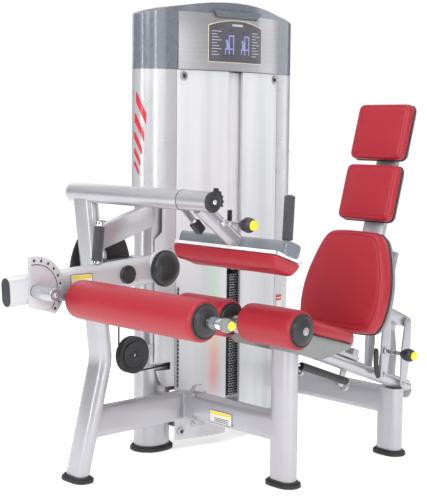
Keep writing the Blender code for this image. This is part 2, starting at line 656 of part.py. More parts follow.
def pulley(name, place, radius, groove, thickness):
    """Grooved wheel on an axle along Y."""
    half = thickness / 2
    profile = [(AXLE + GAP, half), (radius, half), (radius, half - 0.003), (groove, 0.0032),
               (groove, -0.0032), (radius, 0.003 - half), (radius, -half), (AXLE + GAP, -half)]
    return turned(name, BLACK, place, (0, 1, 0), profile, 32, ring=True)


def run_gap():
    """From the bottom of a groove to the middle of a cable that lies in it."""
    return CABLE_RADIUS + 0.0006


def top_pulley_x():
    return TOWER_X - TOP_GROOVE - run_gap()


def rise_x():
    """Where the cable rises beside the stack."""
    return top_pulley_x() - TOP_GROOVE - run_gap()


def idler_centre():
    low = LOWER_PULLEY[2] - GROOVE_RADIUS - run_gap()
    return rise_x() - IDLER_GROOVE - run_gap(), low + IDLER_GROOVE + run_gap()


def cable_run():
    """Pulleys, and the cable from the cam round them to the stack's own length of cable."""
    x, y, z = LOWER_PULLEY
    lower = pulley("lower_pulley", LOWER_PULLEY, PULLEY_RADIUS, GROOVE_RADIUS, PULLEY_THICK)
    hang_on("lower_pulley_spin", LOWER_PULLEY, [lower])
    idler_x, idler_z = idler_centre()
    idler = pulley("idler_pulley", (idler_x, IDLER_Y, idler_z), IDLER_RADIUS, IDLER_GROOVE, IDLER_THICK)
    hang_on("idler_spin", (idler_x, IDLER_Y, idler_z), [idler])
    top_x = top_pulley_x()
    top = pulley("top_pulley", (top_x, STACK_Y, TOP_PULLEY_Z), TOP_PULLEY_RADIUS, TOP_GROOVE, 0.018)
    hang_on("top_pulley_spin", (top_x, STACK_Y, TOP_PULLEY_Z), [top])
    reach = GROOVE_RADIUS + run_gap()
    route = [(x - reach, CABLE_Y, 0.520), (x - reach, y, z + 0.02)]
    route += [(u, y, w) for u, w in arc((x, z), reach, 180, 270, 9)]
    reach = IDLER_GROOVE + run_gap()
    route += [(u, IDLER_Y, w) for u, w in arc((idler_x, idler_z), reach, 270, 360, 9)]
    route += [(rise_x(), IDLER_Y, idler_z + 0.02), (rise_x(), STACK_Y, TOP_PULLEY_Z - 0.02)]
    reach = TOP_GROOVE + run_gap()
    route += [(u, STACK_Y, w) for u, w in arc((top_x, TOP_PULLEY_Z), reach, 180, 0, 18)]
    route += [(TOWER_X, STACK_Y, TOP_PULLEY_Z - 0.0117)]
    wire("drive_cable", BLACK, route, CABLE_RADIUS, 1)


# ---- lever ----
def lever_point(x):
    """Middle of the lever tube at x."""
    return PIVOT_Z + x * sin(LEVER_RISE) / cos(LEVER_RISE)


def lever():
    arm = tube("lever_arm", SILVER, "XZ", LEVER_Y, [(-LEVER_REACH, lever_point(-LEVER_REACH)),
                                                     (0.036, lever_point(0.036))],
               oval(ARM_WIDE / 2, ARM_THIN / 2))
    near = LEVER_Y - ARM_THIN / 2
    fan = [(HUB_X - 0.022, HUB_Z - 0.045)] + arc((HUB_X, HUB_Z), 0.100, -46, 103, 16)
    sector = plate("sector", None, "XZ", near - 0.002, fan, 0.006)
    arm = join(arm, sector)
    holes = []
    for step in range(9):
        angle = radians(93 - 16.5 * step)
        x, z = HUB_X + HOLE_RING * cos(angle), HUB_Z + HOLE_RING * sin(angle)
        holes.append(rod("hole", None, (x, near - 0.02, z), (x, near + 0.0015, z), 0.0048, 8))
    arm = cut(arm, *holes)
    shaft = turned("pivot_shaft", CHROME, (0, 0, PIVOT_Z), (0, 1, 0),
                   [(0, 0.5312), (0.010, 0.5312), (0.010, CAM_Y - CAM_THICK / 2 - GAP - 0.0004),
                    (SHAFT_RADIUS, CAM_Y - CAM_THICK / 2 - GAP - 0.0004),
                    (SHAFT_RADIUS, 0.3985), (0.022, 0.3985), (0.022, LEVER_Y + ARM_THIN / 2 + GAP),
                    (0, LEVER_Y + ARM_THIN / 2 + GAP)], 16)
    cam_plate = cam()
    x = -0.250
    base = Vector((x, LEVER_Y, lever_point(x) + ARM_WIDE / 2 + GAP))
    up = Vector((0.11, 0, 1)).normalized()
    grip = turned("lever_grip", BLACK, base, up,
                  [(0, 0.132), (0.010, 0.131), (0.0120, 0.128), (0.0120, 0.118), (0.0165, 0.117),
                   (0.0165, 0.004), (0.0125, 0.003), (0.0125, 0.0022), (0, 0.0022)], 16)
    pieces = [arm, shaft, cam_plate, grip]
    pivot = hang_on("lever_pivot", (0, LEVER_Y, PIVOT_Z), pieces)
    ankle(pivot)


def cam():
    """Oval eccentric plate that pulls on the cable."""
    outline = [(CAM_CENTRE[0] + CAM_HALF[0] * u, CAM_CENTRE[1] + CAM_HALF[1] * v)
               for u, v in arc((0, 0), 1.0, 0, 350, 35)]
    body = plate("cam", BLACK, "XZ", CAM_Y, outline, CAM_THICK)
    return cut(body, rod("bore", None, (0, 0.4, PIVOT_Z), (0, 0.6, PIVOT_Z), 0.010 + GAP, 16))


def ankle(pivot):
    """Swinging arm of the ankle pad: hub on the sector, link, and the pad's shaft."""
    near = LEVER_Y - ARM_THIN / 2 - 0.005
    arm = rod("ankle_arm", SILVER, (HUB_X, near - GAP, HUB_Z), (HUB_X, 0.236, HUB_Z), 0.019, 20, 0.0175)
    link = rod("link", None, (HUB_X + 0.004, 0.317, HUB_Z - 0.001), (ANKLE_X, 0.317, ANKLE_Z), 0.0145, 16)
    shaft = rod("shaft", None, (ANKLE_X, 0.322, ANKLE_Z), (ANKLE_X, ANKLE_NEAR - 0.040, ANKLE_Z),
                SHAFT_RADIUS, 16)
    collar = rod("collar", None, (ANKLE_X, ANKLE_NEAR - 0.030, ANKLE_Z),
                 (ANKLE_X, ANKLE_NEAR - 0.048, ANKLE_Z), 0.0165, 16)
    end = rod("end", None, (ANKLE_X, 0.333, ANKLE_Z), (ANKLE_X, 0.303, ANKLE_Z), 0.0165, 16)
    arm = join(arm, link, shaft, collar, end)
    pad = roller("ankle_pad", ANKLE_X, ANKLE_Z, ANKLE_NEAR, ANKLE_FAR)
    knob = turned("ankle_knob", BLACK, (ANKLE_X, ANKLE_NEAR - 0.048 - GAP, ANKLE_Z), (0, -1, 0),
                  [(0, 0.058), (0.010, 0.057), (0.0125, 0.053), (0.0125, 0.048), (0.0175, 0.046),
                   (0.0175, 0.022), (0.0125, 0.018), (0.0105, 0.0), (0, 0.0)], 16)
    hub = hang_on("ankle_arm_pivot", (HUB_X, near, HUB_Z), [arm], pivot)
    hang_on("ankle_pad_axis", (ANKLE_X, 0, ANKLE_Z), [pad], hub)
    hang_on("ankle_knob_axis", (ANKLE_X, ANKLE_NEAR, ANKLE_Z), [knob], hub)


def roller(name, x, z, near, far):
    """A padded roller on its shaft."""
    edge = 0.008
    profile = [(PAD_BORE, far), (PAD_RADIUS - edge, far), (PAD_RADIUS, far - edge),
               (PAD_RADIUS, near + edge), (PAD_RADIUS - edge, near), (PAD_BORE, near)]
    return turned(name, RED, (x, 0, z), (0, 1, 0), profile, 28, ring=True)


def knees():
    shaft = rod("knee_shaft", CHROME, (0, -KNEE_OUT - 0.004, KNEE_Z), (0, KNEE_OUT + 0.004, KNEE_Z),
                SHAFT_RADIUS, 16)
    for side, near, far in (("near", -KNEE_OUT, -KNEE_IN), ("far", KNEE_IN, KNEE_OUT)):
        pad = roller("knee_pad_" + side, 0, KNEE_Z, near, far)
        hang_on("knee_pad_" + side + "_axis", (0, 0, KNEE_Z), [pad])
    return shaft


# ---- thigh pad ----
def thigh():
    sleeve = turned("thigh_arm", SILVER, (BOOM_X, 0, BOOM_Z), (0, 1, 0),
                    [(BOOM_RADIUS, SLEEVE_FAR), (BOOM_RADIUS, SLEEVE_NEAR), (0.0206, SLEEVE_NEAR),
                     (0.0206, SLEEVE_FAR)], ring=True)
    y = -0.045
    path = [(BOOM_X + 0.012, BOOM_Z - 0.016), (BAR_X - 0.028, BAR_Z + 0.009)]
    arm = tube("arm", None, "XZ", y, path, oval(0.024, 0.020))
    bar = tube("bar", None, "YZ", 0, [(BAR_Y0, 0), (BAR_Y1, 0)], rounded_rectangle(0.019, 0.031, 0.012))
    tilt = Matrix.Rotation(THIGH_TILT, 4, "Y")
    bar.matrix_world = Matrix.Translation((BAR_X, 0, BAR_Z)) @ tilt @ PLANES["YZ"]
    board = box("board", None, (0.108, 0.425, 0.008), Vector((BAR_X, -0.0225, BAR_Z)) + down(0.0225),
                THIGH_TILT)
    bore = rod("bore", None, (BOOM_X, -0.3, BOOM_Z), (BOOM_X, 0.2, BOOM_Z), 0.0206)
    body = cut(join(sleeve, arm, bar, board), bore)
    cushion = box("thigh_cushion", RED, (0.106, 0.430, 0.044),
                  Vector((BAR_X, -0.0225, BAR_Z)) + down(0.0485 + GAP), THIGH_TILT, 0.008)
    top = Vector((BAR_X, -0.212, BAR_Z)) - down(0.019 + GAP)
    grip = turned("thigh_grip", BLACK, top, (0.06, 0, 1),
                  [(0, 0.132), (0.010, 0.131), (0.0155, 0.125), (0.0155, 0.016), (0.0115, 0.014),
                   (0.0115, 0.0052), (0, 0.0052)], 16)
    knob_x, knob_z = -0.135, 0.832
    knob = turned("thigh_knob", BLACK, (knob_x, y - 0.020 - GAP, knob_z), (0, -1, 0), KNOB, 16)
    turn = hang_on("thigh_pivot", (BOOM_X, 0, BOOM_Z), [body, cushion, grip])
    hang_on("thigh_knob_axis", (knob_x, y, knob_z), [knob], turn)


def down(distance):
    """Offset from the thigh bar towards its cushion."""
    return Vector((-sin(THIGH_TILT), 0, -cos(THIGH_TILT))) * distance


KNOB = [(0, 0.128), (0.012, 0.127), (0.014, 0.122), (0.014, 0.116), (0.0190, 0.113), (0.0205, 0.105),
        (0.0190, 0.088), (0.0120, 0.080), (0.0080, 0.074), (0.0065, 0.070), (0.0065, 0.012),
        (0.0100, 0.012), (0.0100, 0.0), (0, 0.0)]


# ---- seat ----
def rail_place(distance, side, height):
    """World point from a distance along the rail, sideways, and square to it."""
    along = Vector((cos(RAIL_TILT), 0, -sin(RAIL_TILT)))
    above = Vector((sin(RAIL_TILT), 0, cos(RAIL_TILT)))
    return RAIL_POINT + along * distance + Vector((0, side, 0)) + above * height


def seat():
    top = RAIL_RADIUS + GAP
    carriage = box("seat_carriage", SILVER, (0.260, 0.030, 0.012), rail_place(-0.035, 0, top + 0.006),
                   RAIL_TILT)
    post = box("post", None, (0.030, 0.024, 0.032), rail_place(0.074, 0, top + 0.018), RAIL_TILT)
    side = box("side", None, (0.026, 0.006, 0.120), rail_place(0.080, RAIL_RADIUS + 0.0045, -0.012),
               RAIL_TILT)
    bridge = box("bridge", None, (0.020, 0.026, 0.012), rail_place(0.080, 0.0135, top + 0.010), RAIL_TILT)
    tab = box("tab", None, (0.012, 0.034, 0.008), rail_place(0.080, 0.011, -0.060), RAIL_TILT)
    carriage = join(carriage, post, side, bridge, tab)
    pan = seat_pan()
    cushion = seat_block("seat_cushion", RED, 0.300, 0.047, 0.0, 0.186, 0.160)
    front, rear = rail_place(-0.155, 0, -0.053), rail_place(0.074 - GAP, 0, -0.053)
    aim_line = (rear - front).normalized()
    body = spring_body(rear, front)
    rod("gas_spring_rod", CHROME, rear - aim_line * 0.150, rail_place(-0.187, 0, -0.053),
        0.0042, 12)
    hang_on("seat_slide", RAIL_POINT, [carriage, pan, cushion, body])


def spring_body(rear, front):
    cylinder = rod("gas_spring_cylinder", BLACK, rear, front, 0.0125, 16)
    aim_line = (rear - front).normalized()
    bore = rod("bore", None, front - aim_line * 0.01, rear - aim_line * 0.016, 0.0052, 12)
    return cut(cylinder, bore)


def seat_block(name, look, length, height, lift, half_front, half_rear, bevel=0.012):
    """Tapered slab on the seat's own slope; lift is its underside above the cushion's underside."""
    outline = [(0.0, -half_front + 0.03), (0.03, -half_front), (length - 0.05, -half_rear),
               (length, -half_rear + 0.06), (length, half_rear - 0.06), (length - 0.05, half_rear),
               (0.03, half_front), (0.0, half_front - 0.03)]
    slab = plate(name, look, "XY", lift + height / 2, outline, height, bevel)
    turn = Matrix.Translation((0.082, 0, 0.512)) @ Matrix.Rotation(SEAT_TILT, 4, "Y")
    slab.matrix_world = turn @ slab.matrix_world
    bpy.context.view_layer.update()
    return slab


def seat_pan():
    """Dished tray under the cushion, open along the rail and over the front leg."""
    top = [(0.002, -0.155), (0.03, -0.182), (0.245, -0.160), (0.294, -0.105), (0.294, 0.105),
           (0.245, 0.160), (0.03, 0.182), (0.002, 0.155)]
    low = [(0.030, -0.120), (0.05, -0.140), (0.165, -0.128), (0.200, -0.085), (0.200, 0.085),
           (0.165, 0.128), (0.05, 0.140), (0.030, 0.120)]
    bm = bmesh.new()
    rings = []
    for height, scale in ((-GAP, 0.0), (-0.012, 0.0), (-0.062, 1.0)):
        rings.append([bm.verts.new((a[0] + (b[0] - a[0]) * scale, a[1] + (b[1] - a[1]) * scale, height))
                      for a, b in zip(top, low)])
    for upper, lower in zip(rings, rings[1:]):
        for step in range(len(top)):
            after = (step + 1) % len(top)
            bm.faces.new((upper[step], upper[after], lower[after], lower[step]))
    bm.faces.new(rings[0])
    bm.faces.new(rings[-1])
    bm.transform(Matrix.Translation((0.082, 0, 0.512)) @ Matrix.Rotation(SEAT_TILT, 4, "Y"))
    pan = mesh_from(bm, "seat_pan", GREY)
    tunnel = box("tunnel", None, (0.7, 0.062, 0.090), rail_place(-0.15, 0, -0.011), RAIL_TILT)
    leg_room = box("leg_room", None, (0.120, 0.106, 0.12), (0.175, 0, 0.412))
    return cut(pan, tunnel, leg_room)


# ---- back ----
def back_place(side, height, behind):
    """World point up the back's slope and behind its face."""
    up = Vector((sin(BACK_TILT), 0, cos(BACK_TILT)))
    rear = Vector((cos(BACK_TILT), 0, -sin(BACK_TILT)))
    return BACK_POINT + up * height + rear * behind + Vector((0, side, 0))


def back_slab(name, look, outline, height, behind, thickness, bevel=0.010):
    """A flat slab on the back's slope from an outline of (side, up) points."""
    slab = plate(name, look, "YZ", 0.0, outline, thickness, bevel)
    place = Matrix.Translation(back_place(0, height, behind)) @ Matrix.Rotation(BACK_TILT, 4, "Y")
    slab.matrix_world = place @ slab.matrix_world
    bpy.context.view_layer.update()
    return slab


BACK_EDGE = [(0.078, 0.168), (0.108, 0.156), (0.130, 0.125), (0.152, 0.065), (0.167, 0.010),
             (0.172, -0.045), (0.168, -0.100), (0.155, -0.138), (0.130, -0.160)]
BACK_OUTLINE = [(-u, v) for u, v in BACK_EDGE[::-1]] + BACK_EDGE


def link(name, foot_at, half_y, thick):
    """A pair of link plates joined by a cross tube at the top."""
    x, z = foot_at
    dx, dz = LINK_LEAN
    length = sqrt(dx * dx + dz * dz)
    lean = atan2(dx, dz)
    plates = []
    for sign in (-1, 1):
        outline = [(x + u * cos(lean) + v * sin(lean), z - u * sin(lean) + v * cos(lean))
                   for u, v in (arc((0, 0), 0.015, 195, 345, 5)
                                + [(0.023, 0.45 * length), (0.022, 0.62 * length)]
                                + arc((0, length), 0.015, 15, 165, 5)
                                + [(-0.022, 0.62 * length), (-0.023, 0.45 * length)])]
        plates.append(plate(name if sign < 0 else "far", SILVER if sign < 0 else None, "XZ",
                            sign * half_y, outline, thick))
    cross = rod("cross", None, (x + dx, -half_y, z + dz), (x + dx, half_y, z + dz), 0.008, 12)
    return join(plates[0], plates[1], cross)


def back():
    front = link("back_front_link", LINK_FRONT, LINK_Y, LINK_THICK)
    rear = link("back_rear_link", LINK_REAR, LINK_Y, LINK_THICK)
    tops = [(x + LINK_LEAN[0], z + LINK_LEAN[1]) for x, z in (LINK_FRONT, LINK_REAR)]
    run = Vector((tops[1][0] - tops[0][0], tops[1][1] - tops[0][1]))
    slope = atan2(run.y, run.x)
    outline = [(tops[0][0] + u * cos(slope) - v * sin(slope), tops[0][1] + u * sin(slope) + v * cos(slope))
               for u, v in arc((0, 0), 0.019, 90, 270, 6) + arc((run.length, 0), 0.019, -90, 90, 6)]
    frame = plate("back_frame", SILVER, "XZ", 0.0, outline, 0.050)
    foot_point = back_place(0, -0.392, 0.080)
    neck_run = Vector((tops[0][0], 0, tops[0][1])) - foot_point
    neck = box("neck", None, (neck_run.length + 0.010, 0.040, 0.034), foot_point + neck_run / 2,
               -atan2(neck_run.z, neck_run.x))
    post = box("spine", None, (0.024, 0.086, 0.640), back_place(0, -0.090, 0.080), BACK_TILT, 0.008)
    bores = [rod("bore", None, (x, -0.1, z), (x, 0.1, z), 0.0086, 12) for x, z in tops]
    boards = [box("board", None, (0.018, 2 * half, tall), back_place(0, up, 0.0605), BACK_TILT)
              for half, tall, up in ((0.125, 0.24, -0.300), (0.085, 0.145, 0.0), (0.085, 0.145, 0.203))]
    frame = cut(join(frame, neck, post, *boards), *bores)
    cushion = back_slab("back_cushion", RED, BACK_OUTLINE, -0.300, 0.008, 0.086)
    pad = rounded_rectangle(0.107, 0.092, 0.02)
    middle = back_slab("mid_cushion", RED, pad, 0.000, 0.026, 0.050)
    head = back_slab("head_cushion", RED, pad, 0.203, 0.026, 0.050)
    outside = -LINK_Y - LINK_THICK / 2 - GAP
    knob = turned("back_knob", BLACK, (KNOB_AT[0], outside, KNOB_AT[1]), (0, -1, 0), KNOB, 16)
    low = hang_on("front_link_pivot", (LINK_FRONT[0], 0, LINK_FRONT[1]), [front])
    hang_on("rear_link_pivot", (LINK_REAR[0], 0, LINK_REAR[1]), [rear])
    hang_on("back_level_pivot", (tops[0][0], 0, tops[0][1]),
            [frame, cushion, middle, head], low)
    hang_on("back_knob_axis", (KNOB_AT[0], -LINK_Y, KNOB_AT[1]), [knob], low)


def build():
    frame_columns()
    cross_beams()
    left_frame()
    front_leg()
    rear_leg()
    seat_rail()
    side_shells()
    covers()
    cap()
    weight_stack()
    cable_run()
    lever()
    knees()
    thigh()
    seat()
    back()


clear_scene()
PARTS = new_collection("leg_extension_machine")
CUTTERS = new_collection("cutters")
CUTTERS.hide_render = True
build()
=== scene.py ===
"""Looks of the seated leg extension machine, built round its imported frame.

Metres, +Z up, floor at z = 0. x = 0 is the knee axis, y = 0 the middle of the seat, and the
tower stands on the +Y side."""

import json
from math import atan2, cos, pi, radians, sin, sqrt

import bmesh
import bpy
from mathutils import Matrix, Vector, noise
from mathutils.kdtree import KDTree

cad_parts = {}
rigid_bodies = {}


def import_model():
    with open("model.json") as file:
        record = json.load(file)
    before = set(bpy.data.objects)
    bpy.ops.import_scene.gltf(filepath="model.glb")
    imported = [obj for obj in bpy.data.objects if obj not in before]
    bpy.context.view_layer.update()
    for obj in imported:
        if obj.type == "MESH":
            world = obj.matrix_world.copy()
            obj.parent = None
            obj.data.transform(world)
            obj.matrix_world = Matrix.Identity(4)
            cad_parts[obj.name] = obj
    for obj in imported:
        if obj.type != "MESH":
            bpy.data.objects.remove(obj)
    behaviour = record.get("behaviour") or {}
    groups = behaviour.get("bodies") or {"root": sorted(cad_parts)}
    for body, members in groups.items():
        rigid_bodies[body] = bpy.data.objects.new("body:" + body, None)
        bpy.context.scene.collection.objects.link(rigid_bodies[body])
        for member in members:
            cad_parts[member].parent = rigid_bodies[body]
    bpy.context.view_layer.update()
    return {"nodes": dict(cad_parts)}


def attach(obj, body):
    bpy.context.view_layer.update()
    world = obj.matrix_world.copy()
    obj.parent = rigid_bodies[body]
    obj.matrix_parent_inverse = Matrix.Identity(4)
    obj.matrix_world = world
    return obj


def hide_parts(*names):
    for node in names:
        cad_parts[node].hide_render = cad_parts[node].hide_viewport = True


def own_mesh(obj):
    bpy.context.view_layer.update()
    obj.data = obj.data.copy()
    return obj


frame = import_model()

# ---- places and sizes, repeated from the CAD model ----
TOWER_X, TOWER_HALF, COLUMN_SIDE = 0.455, 0.356, 0.284
FRONT_Y, FRONT_HALF, FRONT_SAG = 0.495, 0.240, 0.035
COLUMN_Y, COVER_LOW, COVER_TOP = 0.600, 0.034, 1.286
SLOT_LOW, PIN_TOP = 0.602, 0.812    # PIN_TOP is above the raised selector pin
PIVOT_Z, LEVER_NEAR, LEVER_RISE = 0.657, 0.340, radians(3.0)
LEVER_END, LEVER_Y = -0.570, 0.3625
HUB_X, HUB_Z = -0.489, 0.627
ANKLE_X, ANKLE_Z, ANKLE_NEAR, ANKLE_FAR = -0.360, 0.598, -0.237, 0.300
KNEE_Z, KNEE_IN, KNEE_OUT = 0.535, 0.038, 0.246
ROLLER, SHAFT = 0.057, 0.0125
BOOM_X, BOOM_Z = -0.218, 0.895
BAR_X, BAR_Z, BAR_Y0, BAR_Y1, THIGH_TILT = -0.035, 0.763, -0.235, 0.190, radians(20)
BACK_TILT, BACK_POINT = radians(16), Vector((0.565, 0.0, 0.898))
SEAT_TILT, SEAT_CORNER = radians(15.5), Vector((0.082, 0.0, 0.512))
RAIL_TILT, RAIL_POINT = radians(20.08), Vector((0.433, 0.0, 0.340))
LINK_FRONT, LINK_REAR, LINK_LEAN = (0.634, 0.293), (0.741, 0.247), (0.018, 0.208)
FRONT_X, REAR_X, BEAM_Z = 0.195, 0.734, 0.180
STACK_FRONT, PLATE_PITCH, STACK_BOTTOM = 0.532, 0.0272, 0.150
PLATES, LIFTED = 16, 5
X, Y, Z = Vector((1, 0, 0)), Vector((0, 1, 0)), Vector((0, 0, 1))


# ---- materials ----
class Nodes:
    """Small helper round one material's node tree."""

    def __init__(self, name):
        self.material = bpy.data.materials.new(name)
        self.material.use_nodes = True
        self.tree = self.material.node_tree
        self.shader = self.tree.nodes["Principled BSDF"]
        self.place = self.tree.nodes.new("ShaderNodeTexCoord").outputs["Object"]

    def new(self, kind, inputs=None, **settings):
        node = self.tree.nodes.new("ShaderNode" + kind)
        for key, value in settings.items():
            setattr(node, key, value)
        for key, value in (inputs or {}).items():
            if isinstance(value, bpy.types.NodeSocket):
                self.tree.links.new(value, node.inputs[key])
            else:
                node.inputs[key].default_value = value
        return node

    def stretched(self, scale):
        return self.new("Mapping", {"Vector": self.place, "Scale": scale}).outputs["Vector"]

    def noise(self, scale, detail=3.0, stretch=None):
        where = self.stretched(stretch) if stretch else self.place
        return self.new("TexNoise", {"Vector": where, "Scale": scale, "Detail": detail}).outputs["Fac"]

    def ramp(self, fac, stops):
        """stops are (position, colour) pairs."""
        node = self.new("ValToRGB", {"Fac": fac})
        band = node.color_ramp
        while len(band.elements) < len(stops):
            band.elements.new(0.5)
        for element, (position, colour) in zip(band.elements, stops):
            element.position = position
            element.color = (*colour, 1)
        return node.outputs["Color"]

    def span(self, value, low, high, to_low, to_high):
        return self.new("MapRange", {"Value": value, "From Min": low, "From Max": high,
                                     "To Min": to_low, "To Max": to_high}).outputs["Result"]

    def put(self, **values):
        """Sets uniform values on the shader's own sockets; _ in a name stands for a space."""
        for socket, value in values.items():
            self.shader.inputs[socket.replace("_", " ")].default_value = value

    def link(self, value, socket):
        self.tree.links.new(value, self.shader.inputs[socket])

    def bump(self, height, strength, distance, under=None):
        inputs = {"Height": height, "Strength": strength, "Distance": distance}
        if under:
            inputs["Normal"] = under
        return self.new("Bump", inputs).outputs["Normal"]


def tint(colour, factor):
    return tuple(min(1.0, channel * factor) for channel in colour)


def finish(name, colour, rough, metal=0.0, coat=0.0, mottle=0.06, patch=9.0, grain=900.0,
           grain_strength=0.15, grain_depth=0.0002, rough_spread=0.06, stretch=None, sheen=0.0):
    """A surface with soft colour patches, uneven gloss and a fine grain."""
    nodes = Nodes(name)
    nodes.put(Metallic=metal, Coat_Weight=coat, Coat_Roughness=0.12, Sheen_Weight=sheen)
    patches = nodes.noise(patch, 4.0, stretch)
    nodes.link(nodes.ramp(patches, [(0.3, tint(colour, 1 - mottle)), (0.7, tint(colour, 1 + mottle))]),
               "Base Color")
    nodes.link(nodes.span(nodes.noise(patch * 5, 3.0, stretch), 0.3, 0.7, rough - rough_spread,
                          rough + rough_spread), "Roughness")
    nodes.link(nodes.bump(nodes.noise(grain, 2.0, stretch), grain_strength, grain_depth), "Normal")
    return nodes.material


def leather(name, colour):
    """Vinyl upholstery: pebbled cells, fine creases and a soft shine."""
    nodes = Nodes(name)
    nodes.put(Coat_Weight=0.16, Coat_Roughness=0.20, Specular_IOR_Level=0.45)
    mottle = nodes.noise(240.0, 6.0)
    nodes.link(nodes.ramp(mottle, [(0.3, tint(colour, 0.90)), (0.5, colour), (0.72, tint(colour, 1.10))]),
               "Base Color")
    nodes.link(nodes.span(nodes.noise(160.0, 3.0), 0.3, 0.7, 0.40, 0.52), "Roughness")
    cells = nodes.new("TexVoronoi", {"Vector": nodes.place, "Scale": 520.0}, feature="DISTANCE_TO_EDGE")
    pebble = nodes.bump(nodes.span(cells.outputs["Distance"], 0.0, 0.12, 0.0, 1.0), 0.45, 0.00035)
    nodes.link(nodes.bump(nodes.noise(90.0, 6.0), 0.22, 0.0012, pebble), "Normal")
    return nodes.material


def cover_sheet(name):
    """Pale frosted sheet with faint upright bands, and coloured blurs painted into its colour as the light
    where it is backlit.
    """
    nodes = Nodes(name)
    nodes.put(Coat_Weight=0.25, Coat_Roughness=0.22)
    bands = nodes.noise(6.0, 2.0, (2.2, 2.2, 0.12))
    base = nodes.ramp(bands, [(0.3, (0.55, 0.56, 0.59)), (0.7, (0.68, 0.69, 0.71))])
    place = nodes.new("SeparateXYZ", {"Vector": nodes.place})
    height = nodes.span(place.outputs["Z"], 0.15, 0.75, 0.0, 1.0)
    # painted light: a coloured glow standing in for backlight, red low down to green higher up, mixed in
    # near x = 0.366
    painted_glow = nodes.ramp(height, [(0.02, (0.62, 0.60, 0.62)), (0.14, (0.78, 0.30, 0.28)),
                               (0.30, (0.80, 0.42, 0.30)), (0.42, (0.78, 0.72, 0.42)),
                               (0.60, (0.50, 0.66, 0.50)), (0.82, (0.48, 0.66, 0.55)),
                               (0.98, (0.66, 0.67, 0.69))])
    from_middle = nodes.new("Math", {0: place.outputs["X"], 1: 0.366}, operation="SUBTRACT").outputs[0]
    side = nodes.new("Math", {0: from_middle}, operation="ABSOLUTE").outputs[0]
    inside = nodes.span(side, 0.008, 0.036, 0.72, 0.0)
    mixed = nodes.new("Mix", {"Factor": inside, "A": base, "B": painted_glow}, data_type="RGBA")
    nodes.link(mixed.outputs["Result"], "Base Color")
    nodes.link(nodes.span(nodes.noise(60.0), 0.3, 0.7, 0.34, 0.44), "Roughness")
    nodes.link(nodes.bump(nodes.noise(1400.0, 2.0), 0.10, 0.0001), "Normal")
    return nodes.material


def label_marks(name, ground, ink, width, height):
    """Printed label: small boxes and bars that say nothing."""
    nodes = Nodes(name)
    flat = nodes.new("SeparateXYZ", {"Vector": nodes.place})
    plane = nodes.new("CombineXYZ", {"X": flat.outputs["X"], "Y": flat.outputs["Z"]}).outputs["Vector"]
    bricks = nodes.new("TexBrick", {"Vector": plane, "Color1": (*ground, 1),
                                    "Color2": (*tint(ground, 1.5), 1), "Mortar": (*ink, 1), "Scale": 1.0,
                                    "Mortar Size": height * 0.09, "Mortar Smooth": 0.1,
                                    "Brick Width": width, "Row Height": height})
    bricks.offset = 0.35
    nodes.link(bricks.outputs["Color"], "Base Color")
    nodes.link(nodes.span(nodes.noise(80.0), 0.3, 0.7, 0.35, 0.5), "Roughness")
    nodes.link(nodes.bump(nodes.noise(900.0), 0.08, 0.0001), "Normal")
    return nodes.material


